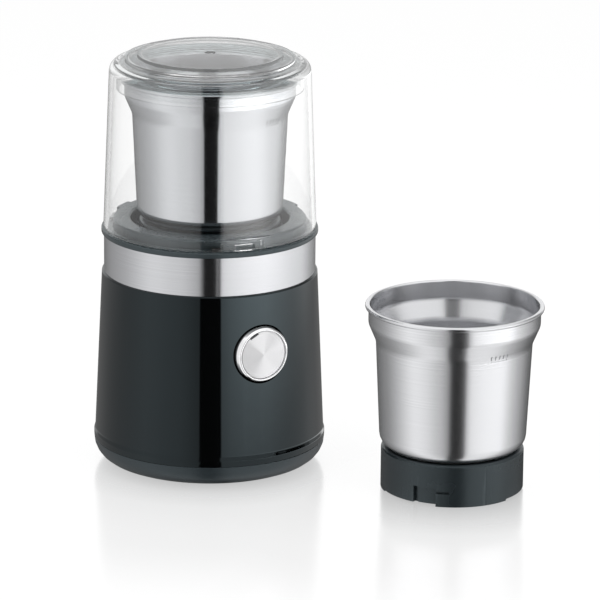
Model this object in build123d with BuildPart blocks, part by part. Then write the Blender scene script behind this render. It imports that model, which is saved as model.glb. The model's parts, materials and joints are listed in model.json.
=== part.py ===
from build123d import *
from math import atan2, cos, pi, radians, sin, sqrt
import os

# Electric spice grinder: a motor base with a push button, a clear lid that twists to lock,
# a steel grinding cup in the base's socket and a spare cup standing beside it.
# Millimetres, Z up. The motor axis is the Z axis, the floor is Z = 0, the front faces -Y.
# Turned pieces are half-sections of (radius, level) corners. A third value is a rounding's radius
# and a fourth the number of flats that stand for it, as a whole arc would mesh too finely.
# Angles are degrees from +X, anticlockwise from above. Cup kits are made standing on Z = 0.

# Clearances between pieces
running_fit = 0.03
snug_fit = 0.1
slip_fit = 0.2
free_gap = 0.3
beyond = 1.0

# Radii, each from the one inside it, outwards from the foot of the cup
base_radius = 39.8
mouth_ledge = 4.5
deck_width = 10.1
dome_wall = 2.3
dome_clearance = 3.0
collar_ledge = 1.1
collar_overhang = 0.2
band_inset = 1.2
shell_draft = 4.3
pan_overhang = 0.3
mouth_radius = base_radius + mouth_ledge
deck_radius = mouth_radius + deck_width
dome_foot_radius = deck_radius + dome_clearance + dome_wall
collar_radius = dome_foot_radius + collar_ledge
shell_top_radius = collar_radius - collar_overhang
band_radius = shell_top_radius - band_inset
shell_foot_radius = shell_top_radius + shell_draft
pan_radius = shell_foot_radius + pan_overhang
socket_gap = 0.5
socket_wall = 2.2
socket_radius = base_radius + socket_gap
well_outer_radius = socket_radius + socket_wall

# Base pan and its anti-slip ring
ring_height = 1.5
ring_width = 4.5
ring_margin = 0.8
pan_wall = 2.2
pan_corner = 12.0
seam_level = 14.0
spigot_height = 5.0
spigot_wall = 2.0
vent_count = 12
vent_length = 14.0
vent_width = 2.6
vent_place_radius = 28.0

# Body shell
shell_top_level = 111.0
shell_wall = 2.4
shell_edge_chamfer = 0.8
lip_proud = 0.4
lip_height = 3.0
lip_blend = 3.0
inlet_level = 30.0
inlet_hole_radius = 5.5

# Steel band, collar and deck
band_wall = 0.8
band_height = 22.0
collar_height = 3.0
collar_chamfer = 0.8
deck_height = 6.0
deck_chamfer = 1.2
deck_wall = 2.2
skirt_wall = 1.6
skirt_depth = 8.0

# Socket for the cup
mouth_chamfer = 1.2
mouth_depth = 9.0
socket_floor = 2.6
cup_sink = 25.0
spout_radius = 8.5
spout_height = 4.0
spout_wall = 2.5
socket_lug_angle = 90.0

# Screw posts that clamp pan, shell and housing together
post_count = 4
post_first_angle = 45.0
post_radius = 4.4
post_clearance = 1.6
post_foot_level = 20.0
pan_screw_radius = 1.6
pan_screw_length = 27.0
pan_screw_head_radius = 3.2
pan_screw_head_height = 2.6
pan_screw_recess = 5.0

# Cup kit, measured from the foot of the base ring
base_wall = 3.0
base_height = 24.0
base_round = 1.6
base_recess = 0.6
base_plate = 3.0
base_foot_lift = 1.1
base_foot_lift_arc = 38.9
entry_arc = 19.2
entry_height = 10.4
slot_arc = 3.5
slot_depth = 2.2
latch_arc = 10.7
latch_level = 8.25
latch_height = 1.4
latch_depth = 1.5
lug_height = 0.9
lug_arc = 8.0
bayonet_count = 3
bowl_sheet = 0.8
bowl_overhang = 0.75
bowl_draft = 2.9
bowl_flare = 4.25
bowl_lip = 1.9
bowl_floor_radius = base_radius + bowl_overhang
bowl_corner = 8.5
bowl_neck_radius = bowl_floor_radius + bowl_draft
bowl_neck_level = 84.6
bowl_flange_radius = bowl_neck_radius + bowl_flare
bowl_flange_level = 94.6
bowl_rim_radius = bowl_flange_radius + bowl_lip
bowl_rim_level = 105.5
bowl_rim_height = 2.4
bowl_rim_chamfer = 0.5
bush_radius = 7.0
bush_flange_radius = 11.0
bush_flange_height = 2.6
bush_chamfer = 2.0
bush_clearance = 0.6
gasket_thickness = 1.0
nut_width = 20.0
nut_height = 3.0
nut_clearance = 1.4

# Blade, spindle and drive
spindle_radius = 4.0
spindle_collar_radius = 6.0
spindle_collar_height = 1.6
blade_pin_radius = 2.5
blade_sheet = 1.6
blade_length = 33.0
blade_root_width = 11.0
blade_tip_width = 6.0
blade_rise_height = 7.0
blade_drop_height = 2.8
blade_hub_radius = 7.0
blade_nut_width = 9.0
blade_nut_height = 4.5
dog_radius = 13.0
dog_foot_level = 5.5
dog_wall = 3.5
dog_bore = 10.0
dog_rib_inner = 7.7
spline_count = 6
spline_width = 3.4
coupling_core_radius = 7.0
coupling_tooth_radius = 9.6
coupling_play = 0.5
coupling_height = 7.4

# Lid
dome_gap = 0.4
dome_draft = 3.6
dome_step = 8.6
plateau_step = 7.0
locator_inset = 3.9
dome_top_radius = dome_foot_radius - dome_draft
dome_shoulder_level = 230.5
dome_shoulder_round = 5.5
plateau_radius = dome_top_radius - dome_step
plateau_level = 233.0
disc_radius = plateau_radius - plateau_step
disc_level = 235.0
lid_roof = 2.2
locator_radius = dome_top_radius - locator_inset
locator_wall = 1.6
locator_foot_level = 216.0
seal_width = 3.6
tab_arc = 11.0
tab_height = 2.0
tab_level = 137.2
deck_lug_arc = 14.0
deck_lug_height = 2.0
deck_lug_reach = 2.2
lid_rest_angle = 262.0
lid_twist = 16.0

# Interlock
pin_thickness = 1.5
pin_width = 5.0
pin_proud = 1.8
pin_length = 13.0
pin_entry = 1.0
switch_pocket = 2.9
interlock_width = 13.0
interlock_reach = 0.7
interlock_height = 14.0

# Push button
button_level = 77.0
button_radius = 16.0
button_gap = 0.7
button_proud = 2.5
button_travel = 2.0
rim_width = 2.1
rim_depth = 4.0
rim_chamfer = 0.9
face_sink = 0.6
face_thickness = 1.6
lens_length = 5.6
lens_width = 1.1
lens_place_radius = 12.9
lens_angle = 117.0
skirt_clearance = 0.8
stem_radius = 3.5
guide_wall = 1.7
guide_clearance = 1.5
guide_back_wall = 2.0
guide_margin = 1.0
spring_radius = 6.5
spring_wire = 0.7
spring_turns = 3
plunger_radius = 1.4
plunger_length = 3.0
switch_depth = 8.5
switch_width = 20.0
switch_height = 10.0
board_thickness = 1.6
board_width = 37.0
board_height = 24.0
board_gap = 0.9

# Motor
shaft_radius = 3.0
shaft_foot_level = 24.0
stack_foot_level = 52.0
stack_height = 30.0
stack_width = 56.0
stack_depth = 68.0
stack_corner = 10.0
air_gap = 0.6
core_radius = 16.6
core_slots = 12
core_slot_width = 2.2
core_slot_depth = 6.0
window_size = 9.0
window_x = 16.0
window_inset = 8.5
coil_overhang = 9.0
coil_thickness = 8.0
coil_play = 1.0
winding_radius = 14.0
winding_height = 6.0
commutator_radius = 11.0
commutator_foot_level = 36.0
commutator_height = 9.0
brush_gap = 0.15
brush_width = 6.0
brush_height = 5.0
brush_length = 10.0
holder_wall = 1.5
holder_length = 15.0
holder_lift = 5.5
bracket_thickness = 3.0
bracket_leg_inset = 3.0
bracket_leg_width = 10.0
bracket_leg_depth = 5.0
lower_bracket_level = 30.0
upper_bracket_level = 103.0
tie_screw_radius = 1.9
tie_screw_head_radius = 3.2
tie_screw_head_height = 2.4
tie_screw_bite = 9.0
lower_bearing_radius = 6.0
lower_bearing_height = 6.0
upper_bearing_radius = 9.5
upper_bearing_height = 6.0
bearing_lip = 1.5
fan_level = 92.5
fan_radius = 27.0
fan_hub_radius = 9.0
fan_sheet = 1.2
fan_blades = 9
fan_blade_length = 15.0
fan_blade_lean = 25.0
fan_height = 6.0
mount_count = 4
mount_place_radius = 37.4
grommet_radius = 5.0
grommet_height = 4.0
mount_screw_radius = 1.5
mount_screw_head_radius = 3.2
mount_screw_head_height = 2.0

# Cord inlet
inlet_bore = 3.6
inlet_flange_radius = 7.5
inlet_flange = 1.8
inlet_chamfer = 1.0
inlet_depth = 5.0

# Spare cup's place beside the base
spare_x = 95.5
spare_y = -109.2
spare_turn = 207.1

# Levels that follow from the sizes above
pan_level = ring_height
band_top_level = shell_top_level + band_height
collar_level = band_top_level + collar_height
deck_level = collar_level + deck_height
cup_level = deck_level - cup_sink
skirt_radius = shell_top_radius - shell_wall - slip_fit
skirt_inner_radius = skirt_radius - skirt_wall
floor_under_level = cup_level - socket_floor
dome_level = collar_level + dome_gap
bowl_level = base_height - base_recess
plate_under_level = bowl_level - base_plate
bowl_inner_level = bowl_level + bowl_sheet
lug_level = latch_level - lug_height / 2
dog_top_level = plate_under_level - nut_height - nut_clearance
dog_roof_level = dog_top_level - dog_wall
bush_foot_level = dog_top_level + bush_clearance
stack_top_level = stack_foot_level + stack_height
bracket_leg_place_radius = stack_depth / 2 - bracket_leg_inset
window_y = bracket_leg_place_radius - window_inset
button_axis = Axis((0, 0, button_level), (0, -1, 0))
button_section = Plane(origin=(0, 0, button_level), x_dir=(1, 0, 0), z_dir=(0, 0, -1))
post_place_radius = well_outer_radius + post_clearance + post_radius
ring_outer_radius = post_place_radius - pan_screw_head_radius - ring_margin
ring_inner_radius = ring_outer_radius - ring_width


def shell_radius(level):
    """Outer radius of the body's tapered wall at a level."""
    share = (level - seam_level) / (shell_top_level - seam_level)
    return shell_foot_radius + (shell_top_radius - shell_foot_radius) * share


def dome_radius(level):
    """Outer radius of the lid's tapered wall at a level."""
    share = (level - dome_level) / (dome_shoulder_level - dome_level)
    return dome_foot_radius + (dome_top_radius - dome_foot_radius) * share


def rounding(before, corner, after):
    """Points that round a corner by chords of the arc that touches both its sides."""
    radius, chords = corner[2:]
    sides = [Vector(*end[:2]) - Vector(*corner[:2]) for end in (before, after)]
    middle = (sides[0].normalized() + sides[1].normalized()).normalized()
    half_cosine = middle.dot(sides[0].normalized())
    setback = radius * half_cosine / sqrt(1 - half_cosine**2)
    centre = Vector(*corner[:2]) + middle * (setback / half_cosine)
    spokes = [Vector(*corner[:2]) + side.normalized() * setback - centre for side in sides]
    first = atan2(spokes[0].Y, spokes[0].X)
    swing = (atan2(spokes[1].Y, spokes[1].X) - first + pi) % (2 * pi) - pi
    angles = [first + swing * step / chords for step in range(chords + 1)]
    return [(centre.X + radius * cos(angle), centre.Y + radius * sin(angle)) for angle in angles]


def section(*corners, plane=Plane.XZ):
    """Half-section of a turned piece from (radius, level) corners, some with a rounding."""
    points = []
    for place, corner in enumerate(corners):
        if len(corner) > 2:
            points += rounding(corners[place - 1], corner, corners[(place + 1) % len(corners)])
        else:
            points.append(corner)
    with BuildSketch(plane) as half:
        with BuildLine():
            Polyline(*points, close=True)
        make_face()
    return half.sketch


def band(inner, outer, low, high, plane=Plane.XZ):
    """Rectangular half-section between two radii and two levels."""
    return section((inner, low), (outer, low), (outer, high), (inner, high), plane=plane)


def upright_plane(angle):
    """Plane through the Z axis whose X runs outwards at an angle."""
    turn = radians(angle)
    return Plane(origin=(0, 0, 0), x_dir=(cos(turn), sin(turn), 0), z_dir=(sin(turn), -cos(turn), 0))


def add_arc(inner, outer, low, high, start, arc, mode=Mode.ADD):
    """Add or cut part of a ring between two radii and levels, from a start angle through an arc."""
    face = band(inner, outer, low, high, upright_plane(start))
    revolve(face, axis=Axis.Z, revolution_arc=arc, mode=mode)


def bayonet_starts(first):
    """Angles at which a feature repeats round a bayonet ring."""
    return [first + k * 360 / bayonet_count for k in range(bayonet_count)]


button_front = shell_radius(button_level) + button_proud
board_front = stack_depth / 2 + board_gap + board_thickness
switch_front = board_front + switch_depth
stem_end = switch_front + button_travel
guide_back = stem_end + guide_clearance
guide_floor = guide_back + guide_back_wall

# ---------------------------------------------------------------- base

with BuildPart() as foot_ring:
    revolve(band(ring_inner_radius, ring_outer_radius, 0, ring_height), axis=Axis.Z)

with BuildPart() as base_pan:
    spigot_foot = shell_radius(seam_level) - shell_wall - slip_fit
    spigot_top = shell_radius(seam_level + spigot_height) - shell_wall - slip_fit
    spigot_bore = spigot_top - spigot_wall
    pan_floor_level = pan_level + pan_wall
    revolve(
        section(
            (0, pan_level),
            (pan_radius, pan_level, pan_corner, 3),
            (pan_radius, seam_level),
            (spigot_foot, seam_level),
            (spigot_top, seam_level + spigot_height),
            (spigot_bore, seam_level + spigot_height),
            (spigot_bore, pan_floor_level, pan_corner - pan_wall, 2),
            (0, pan_floor_level),
        ),
        axis=Axis.Z,
    )
    with BuildSketch(Plane.XY.offset(pan_level + pan_screw_head_height)):
        with PolarLocations(post_place_radius, post_count, start_angle=post_first_angle):
            Circle(post_radius)
    extrude(amount=post_foot_level - pan_level - pan_screw_head_height)
    with BuildSketch(Plane.XY.offset(pan_level)):
        with PolarLocations(vent_place_radius, vent_count):
            Rectangle(vent_length, vent_width)
    extrude(amount=pan_wall, mode=Mode.SUBTRACT)
    with BuildSketch(Plane.XY.offset(pan_level)):
        with PolarLocations(post_place_radius, post_count, start_angle=post_first_angle):
            Circle(pan_screw_head_radius + slip_fit)
    extrude(amount=pan_screw_recess, mode=Mode.SUBTRACT)
    with BuildSketch(Plane.XY.offset(pan_level)):
        with PolarLocations(post_place_radius, post_count, start_angle=post_first_angle):
            Circle(pan_screw_radius + slip_fit)
    extrude(amount=post_foot_level - pan_level, mode=Mode.SUBTRACT)

with BuildPart() as pan_screws:
    screw_seat_level = pan_level + pan_screw_recess
    with BuildSketch(Plane.XY.offset(screw_seat_level)):
        with PolarLocations(post_place_radius, post_count, start_angle=post_first_angle):
            Circle(pan_screw_head_radius)
    extrude(amount=-pan_screw_head_height)
    with BuildSketch(Plane.XY.offset(screw_seat_level)):
        with PolarLocations(post_place_radius, post_count, start_angle=post_first_angle):
            Circle(pan_screw_radius)
    extrude(amount=pan_screw_length)

with BuildPart() as body_shell:
    lip_radius = shell_foot_radius + lip_proud
    blend_level = seam_level + lip_height + lip_blend
    revolve(
        section(
            (lip_radius, seam_level),
            (lip_radius, seam_level + lip_height),
            (shell_radius(blend_level), blend_level),
            (shell_top_radius, shell_top_level - shell_edge_chamfer),
            (shell_top_radius - shell_edge_chamfer, shell_top_level),
            (shell_top_radius - shell_wall, shell_top_level),
            (shell_foot_radius - shell_wall, seam_level),
        ),
        axis=Axis.Z,
    )
    with BuildSketch(Plane.XZ):
        with Locations((0, button_level)):
            Circle(button_radius + button_gap)
    extrude(amount=pan_radius, mode=Mode.SUBTRACT)
    with BuildSketch(Plane.XZ):
        with Locations((0, inlet_level)):
            Circle(inlet_hole_radius)
    extrude(amount=-pan_radius, mode=Mode.SUBTRACT)

with BuildPart() as steel_band:
    revolve(band(band_radius - band_wall, band_radius, shell_top_level, band_top_level), axis=Axis.Z)

# The housing: collar, raised deck, socket well, lid lugs and the posts that hold the base together.
with BuildPart() as top_housing:
    mouth_floor_level = deck_level - mouth_depth
    roof_level = deck_level - deck_wall
    haunch_level = mouth_floor_level - deck_wall
    collar_under_level = collar_level - deck_wall
    revolve(
        section(
            (skirt_inner_radius, shell_top_level - skirt_depth),
            (skirt_radius, shell_top_level - skirt_depth),
            (skirt_radius, band_top_level),
            (collar_radius, band_top_level),
            (collar_radius, collar_level - collar_chamfer),
            (collar_radius - collar_chamfer, collar_level),
            (deck_radius, collar_level),
            (deck_radius, deck_level - deck_chamfer),
            (deck_radius - deck_chamfer, deck_level),
            (mouth_radius + mouth_chamfer, deck_level),
            (mouth_radius, deck_level - mouth_chamfer),
            (mouth_radius, mouth_floor_level),
            (socket_radius, mouth_floor_level),
            (socket_radius, cup_level),
            (spout_radius, cup_level),
            (spout_radius, cup_level + spout_height),
            (spout_radius - spout_wall, cup_level + spout_height),
            (spout_radius - spout_wall, floor_under_level),
            (well_outer_radius, floor_under_level),
            (well_outer_radius, haunch_level),
            (mouth_radius + deck_wall, haunch_level),
            (mouth_radius + deck_wall, roof_level),
            (deck_radius - deck_wall, roof_level),
            (deck_radius - deck_wall, collar_under_level),
            (skirt_inner_radius, collar_under_level),
        ),
        axis=Axis.Z,
    )
    for start in bayonet_starts(socket_lug_angle - lug_arc / 2):
        lug_foot = cup_level + lug_level
        lug_inner_radius = base_radius - latch_depth + free_gap
        add_arc(lug_inner_radius, socket_radius + snug_fit, lug_foot, lug_foot + lug_height, start, lug_arc)
    locked_angle = lid_rest_angle - lid_twist
    deck_lug_level = tab_level + tab_height + free_gap
    for start in bayonet_starts(locked_angle - deck_lug_arc / 2):
        add_arc(
            deck_radius - snug_fit,
            deck_radius + deck_lug_reach,
            deck_lug_level,
            deck_lug_level + deck_lug_height,
            start,
            deck_lug_arc,
        )
    with BuildSketch(Plane.XY.offset(post_foot_level)):
        with PolarLocations(post_place_radius, post_count, start_angle=post_first_angle):
            Circle(post_radius)
    extrude(amount=roof_level + snug_fit - post_foot_level)
    with BuildSketch(Plane.XY.offset(post_foot_level)):
        with PolarLocations(post_place_radius, post_count, start_angle=post_first_angle):
            Circle(pan_screw_radius + snug_fit)
    extrude(amount=pan_screw_length, mode=Mode.SUBTRACT)
    boss_foot_level = upper_bracket_level + bracket_thickness + grommet_height
    with BuildSketch(Plane.XY.offset(boss_foot_level)):
        with PolarLocations(mount_place_radius, mount_count):
            Circle(grommet_radius)
    extrude(amount=floor_under_level - boss_foot_level)
    with BuildSketch(Plane.XY.offset(boss_foot_level)):
        with PolarLocations(mount_place_radius, mount_count):
            Circle(mount_screw_radius + snug_fit)
    extrude(amount=floor_under_level - boss_foot_level + socket_floor / 2, mode=Mode.SUBTRACT)
    pin_inner = deck_radius + slip_fit
    with BuildSketch(Plane.XY.offset(collar_under_level - snug_fit)):
        with PolarLocations(pin_inner + pin_thickness / 2, 1, start_angle=locked_angle):
            Rectangle(pin_thickness + 2 * snug_fit, pin_width + 2 * snug_fit)
    extrude(amount=deck_wall + 2 * snug_fit, mode=Mode.SUBTRACT)

with BuildPart() as shaft_seal:
    seal_bore = shaft_radius + running_fit
    revolve(band(seal_bore, spout_radius - spout_wall, floor_under_level, cup_level), axis=Axis.Z)

# ---------------------------------------------------------------- interlock

with BuildPart() as interlock_pin:
    pin_top_level = collar_level + pin_proud
    with BuildSketch(Plane.XY.offset(pin_top_level)):
        with PolarLocations(pin_inner + pin_thickness / 2, 1, start_angle=locked_angle):
            Rectangle(pin_thickness, pin_width)
    extrude(amount=-pin_length)

with BuildPart() as interlock_switch:
    interlock_top_level = pin_top_level - pin_length + pin_entry
    interlock_depth = deck_radius + interlock_reach - well_outer_radius
    interlock_middle = well_outer_radius + snug_fit + interlock_depth / 2
    with BuildSketch(Plane.XY.offset(interlock_top_level)):
        with PolarLocations(interlock_middle, 1, start_angle=locked_angle):
            Rectangle(interlock_depth, interlock_width)
    extrude(amount=-interlock_height)
    with BuildSketch(Plane.XY.offset(interlock_top_level)):
        with PolarLocations(pin_inner + pin_thickness / 2, 1, start_angle=locked_angle):
            Rectangle(pin_thickness + 2 * slip_fit, pin_width + 2 * slip_fit)
    extrude(amount=-switch_pocket, mode=Mode.SUBTRACT)

# ---------------------------------------------------------------- push button

with BuildPart() as button_rim:
    rim_back = button_front - rim_depth
    rim_inner_radius = button_radius - rim_width
    revolve(
        section(
            (rim_inner_radius, rim_back),
            (button_radius, rim_back),
            (button_radius, button_front - rim_chamfer),
            (button_radius - rim_chamfer, button_front),
            (rim_inner_radius + rim_chamfer / 2, button_front),
            (rim_inner_radius, button_front - rim_chamfer / 2),
            plane=button_section,
        ),
        axis=button_axis,
    )

with BuildPart() as button_face:
    face_front = button_front - face_sink
    face_back = face_front - face_thickness
    face_radius = rim_inner_radius - snug_fit
    revolve(band(0, face_radius, face_back, face_front, button_section), axis=button_axis)
    lens_plane = Plane(origin=(0, -face_front, button_level), x_dir=(1, 0, 0), z_dir=(0, -1, 0))
    with BuildSketch(lens_plane):
        with PolarLocations(lens_place_radius, 1, start_angle=lens_angle):
            Rectangle(lens_width, lens_length)
    extrude(amount=-face_thickness, mode=Mode.SUBTRACT)

with BuildPart() as button_lens:
    with BuildSketch(lens_plane):
        with PolarLocations(lens_place_radius, 1, start_angle=lens_angle):
            Rectangle(lens_width, lens_length)
    extrude(amount=-face_thickness)

with BuildPart() as button_body:
    button_foot = guide_floor + button_travel + skirt_clearance
    body_radius = button_radius - 2 * slip_fit
    revolve(
        section(
            (0, face_back),
            (face_radius, face_back),
            (face_radius, rim_back),
            (body_radius, rim_back),
            (body_radius, button_foot),
            (body_radius - guide_wall, button_foot),
            (body_radius - guide_wall, rim_back - guide_wall),
            (stem_radius, rim_back - guide_wall),
            (stem_radius, stem_end),
            (0, stem_end),
            plane=button_section,
        ),
        axis=button_axis,
    )

with BuildPart() as start_plunger:
    plunger_end = stem_end - plunger_length
    revolve(band(0, plunger_radius, plunger_end, stem_end, button_section), axis=button_axis)

with BuildPart() as button_guide:
    guide_bore = button_radius + button_gap
    guide_radius = guide_bore + guide_wall
    guide_low = button_level - guide_radius - guide_margin
    guide_high = button_level + guide_radius + guide_margin
    revolve(
        section(
            (guide_bore, button_front),
            (guide_radius, button_front),
            (guide_radius, guide_back),
            (stem_radius + free_gap, guide_back),
            (stem_radius + free_gap, guide_floor),
            (guide_bore, guide_floor),
            plane=button_section,
        ),
        axis=button_axis,
    )
    revolve(
        section(
            (0, guide_low),
            (shell_radius(guide_low) - shell_wall, guide_low),
            (shell_radius(guide_high) - shell_wall, guide_high),
            (0, guide_high),
        ),
        axis=Axis.Z,
        mode=Mode.INTERSECT,
    )
    board_plane = Plane(origin=(0, -board_front, button_level), x_dir=(1, 0, 0), z_dir=(0, -1, 0))
    with BuildSketch(board_plane):
        with Locations((-guide_bore + guide_wall, 0), (guide_bore - guide_wall, 0)):
            Circle(guide_wall)
    extrude(amount=guide_back - board_front)

with BuildPart() as button_spring:
    spring_pitch = (rim_back - guide_wall - guide_floor - spring_wire) / spring_turns
    with BuildLine() as coil:
        Helix(
            spring_pitch,
            spring_pitch * spring_turns,
            spring_radius,
            center=(0, -guide_floor - spring_wire / 2, button_level),
            direction=(0, -1, 0),
        )
    with BuildSketch(Plane(origin=coil.line @ 0, z_dir=coil.line % 0)):
        Rectangle(spring_wire, spring_wire)
    sweep(path=coil.line, is_frenet=True)

with BuildPart() as start_switch:
    switch_plane = Plane(origin=(0, -switch_front, button_level), x_dir=(1, 0, 0), z_dir=(0, -1, 0))
    with BuildSketch(switch_plane):
        Rectangle(switch_width, switch_height)
    extrude(amount=board_front - switch_front)
    with BuildSketch(switch_plane):
        Circle(plunger_radius + snug_fit)
    extrude(amount=plunger_end - button_travel - free_gap - switch_front, mode=Mode.SUBTRACT)

with BuildPart() as control_board:
    with BuildSketch(board_plane):
        Rectangle(board_width, board_height)
    extrude(amount=-board_thickness)

# ---------------------------------------------------------------- motor

hub_bore = shaft_radius + running_fit

with BuildPart() as stator_core:
    with BuildSketch(Plane.XY.offset(stack_foot_level)) as lamination:
        Rectangle(stack_width, stack_depth)
        fillet(lamination.vertices(), stack_corner)
        Circle(core_radius + air_gap, mode=Mode.SUBTRACT)
        with GridLocations(2 * window_x, 2 * window_y, 2, 2):
            Rectangle(window_size, window_size, mode=Mode.SUBTRACT)
        with Locations((0, bracket_leg_place_radius), (0, -bracket_leg_place_radius)):
            Circle(tie_screw_radius + slip_fit, mode=Mode.SUBTRACT)
    extrude(amount=stack_height)

with BuildPart() as field_coils:
    coil_width = 2 * window_x + coil_thickness
    coil_height = stack_height + 2 * coil_overhang
    for side in (1, -1):
        with BuildSketch(Plane.XZ.offset(side * window_y + coil_thickness / 2)):
            with Locations((0, stack_foot_level + stack_height / 2)):
                Rectangle(coil_width, coil_height)
                Rectangle(coil_width - 2 * coil_thickness, stack_height + coil_play, mode=Mode.SUBTRACT)
        extrude(amount=-coil_thickness)

with BuildPart() as motor_shaft:
    shaft_top_level = cup_level + dog_roof_level - coupling_play
    revolve(band(0, shaft_radius, shaft_foot_level, shaft_top_level), axis=Axis.Z)

with BuildPart() as armature_core:
    with BuildSketch(Plane.XY.offset(stack_foot_level)):
        Circle(core_radius)
        with PolarLocations(core_radius + beyond - core_slot_depth / 2, core_slots):
            Rectangle(core_slot_depth + 2 * beyond, core_slot_width, mode=Mode.SUBTRACT)
        Circle(hub_bore, mode=Mode.SUBTRACT)
    extrude(amount=stack_height)

with BuildPart() as armature_winding:
    for low in (stack_foot_level - winding_height, stack_top_level):
        ends = band(shaft_radius + free_gap, winding_radius, low, low + winding_height)
        revolve(ends, axis=Axis.Z)

with BuildPart() as commutator:
    commutator_top = commutator_foot_level + commutator_height
    revolve(band(hub_bore, commutator_radius, commutator_foot_level, commutator_top), axis=Axis.Z)

with BuildPart() as cooling_fan:
    revolve(band(hub_bore, fan_radius, fan_level, fan_level + fan_sheet), axis=Axis.Z)
    revolve(band(hub_bore, fan_hub_radius, fan_level, fan_level + fan_height), axis=Axis.Z)
    with BuildSketch(Plane.XY.offset(fan_level + fan_sheet)):
        with PolarLocations((fan_radius + fan_hub_radius) / 2, fan_blades):
            Rectangle(fan_blade_length, fan_sheet, rotation=fan_blade_lean)
    extrude(amount=fan_height - fan_sheet)

with BuildPart() as drive_coupling:
    coupling_foot_level = shaft_top_level - coupling_height
    with BuildSketch(Plane.XY.offset(coupling_foot_level)):
        Circle(coupling_core_radius)
        with PolarLocations(coupling_tooth_radius / 2, spline_count):
            Rectangle(coupling_tooth_radius, spline_width)
        Circle(hub_bore, mode=Mode.SUBTRACT)
    extrude(amount=coupling_height)

with BuildPart() as lower_bearing:
    lower_bearing_foot = lower_bracket_level + bracket_thickness - lower_bearing_height
    revolve(
        band(hub_bore, lower_bearing_radius, lower_bearing_foot, lower_bearing_foot + lower_bearing_height),
        axis=Axis.Z,
    )

with BuildPart() as upper_bearing:
    upper_bearing_foot = upper_bracket_level
    revolve(
        band(hub_bore, upper_bearing_radius, upper_bearing_foot, upper_bearing_foot + upper_bearing_height),
        axis=Axis.Z,
    )

with BuildPart() as lower_bracket:
    plate_length = 2 * bracket_leg_place_radius + bracket_leg_width / 2
    with BuildSketch(Plane.XY.offset(lower_bracket_level)):
        Rectangle(2 * bracket_leg_width, plate_length)
        Rectangle(2 * (commutator_radius + brush_gap + holder_length), 2 * bracket_leg_width)
    extrude(amount=bracket_thickness)
    revolve(
        band(0, lower_bearing_radius + pan_wall, lower_bearing_foot - bearing_lip, lower_bracket_level),
        axis=Axis.Z,
    )
    with BuildSketch(Plane.XY.offset(lower_bracket_level)):
        with Locations((0, bracket_leg_place_radius), (0, -bracket_leg_place_radius)):
            Rectangle(bracket_leg_width, bracket_leg_depth)
    extrude(amount=stack_foot_level - lower_bracket_level)
    bearing_seat = band(0, lower_bearing_radius, lower_bearing_foot, lower_bracket_level + bracket_thickness)
    revolve(bearing_seat, axis=Axis.Z, mode=Mode.SUBTRACT)
    shaft_hole = band(0, shaft_radius + free_gap, shaft_foot_level - bearing_lip, lower_bearing_foot)
    revolve(shaft_hole, axis=Axis.Z, mode=Mode.SUBTRACT)
    with BuildSketch(Plane.XY.offset(lower_bracket_level)):
        with Locations((0, bracket_leg_place_radius), (0, -bracket_leg_place_radius)):
            Circle(tie_screw_radius + slip_fit)
    extrude(amount=stack_foot_level - lower_bracket_level, mode=Mode.SUBTRACT)

with BuildPart() as upper_bracket:
    upper_bracket_top = upper_bracket_level + bracket_thickness
    arm_length = 2 * (mount_place_radius + grommet_radius)
    with BuildSketch(Plane.XY.offset(upper_bracket_level)):
        Rectangle(arm_length, 2 * grommet_radius)
        Rectangle(2 * grommet_radius, arm_length)
    extrude(amount=bracket_thickness)
    with BuildSketch(Plane.XY.offset(upper_bracket_level)):
        with Locations((0, bracket_leg_place_radius), (0, -bracket_leg_place_radius)):
            Rectangle(bracket_leg_width, bracket_leg_depth)
    extrude(amount=stack_top_level - upper_bracket_level)
    hub_top = upper_bearing_foot + upper_bearing_height + bearing_lip
    revolve(band(0, upper_bearing_radius + pan_wall, upper_bracket_level, hub_top), axis=Axis.Z)
    bearing_seat = band(0, upper_bearing_radius, upper_bracket_level, hub_top - bearing_lip)
    revolve(bearing_seat, axis=Axis.Z, mode=Mode.SUBTRACT)
    shaft_hole = band(0, shaft_radius + free_gap, upper_bracket_level, hub_top)
    revolve(shaft_hole, axis=Axis.Z, mode=Mode.SUBTRACT)
    with BuildSketch(Plane.XY.offset(upper_bracket_level)):
        with PolarLocations(mount_place_radius, mount_count):
            Circle(mount_screw_radius + slip_fit)
    extrude(amount=bracket_thickness, mode=Mode.SUBTRACT)
    with BuildSketch(Plane.XY.offset(stack_top_level)):
        with Locations((0, bracket_leg_place_radius), (0, -bracket_leg_place_radius)):
            Circle(tie_screw_radius - snug_fit)
    extrude(amount=tie_screw_bite + beyond, mode=Mode.SUBTRACT)

with BuildPart() as tie_screws:
    with BuildSketch(Plane.XY.offset(lower_bracket_level)):
        with Locations((0, bracket_leg_place_radius), (0, -bracket_leg_place_radius)):
            Circle(tie_screw_head_radius)
    extrude(amount=-tie_screw_head_height)
    with BuildSketch(Plane.XY.offset(lower_bracket_level)):
        with Locations((0, bracket_leg_place_radius), (0, -bracket_leg_place_radius)):
            Circle(tie_screw_radius - 2 * snug_fit)
    extrude(amount=stack_top_level + tie_screw_bite - lower_bracket_level)

with BuildPart() as motor_grommets:
    with BuildSketch(Plane.XY.offset(upper_bracket_top)):
        with PolarLocations(mount_place_radius, mount_count):
            Circle(grommet_radius)
            Circle(mount_screw_radius + slip_fit, mode=Mode.SUBTRACT)
    extrude(amount=grommet_height)

with BuildPart() as motor_screws:
    with BuildSketch(Plane.XY.offset(upper_bracket_level)):
        with PolarLocations(mount_place_radius, mount_count):
            Circle(mount_screw_head_radius)
    extrude(amount=-mount_screw_head_height)
    with BuildSketch(Plane.XY.offset(upper_bracket_level)):
        with PolarLocations(mount_place_radius, mount_count):
            Circle(mount_screw_radius)
    extrude(amount=floor_under_level - upper_bracket_level)

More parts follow.
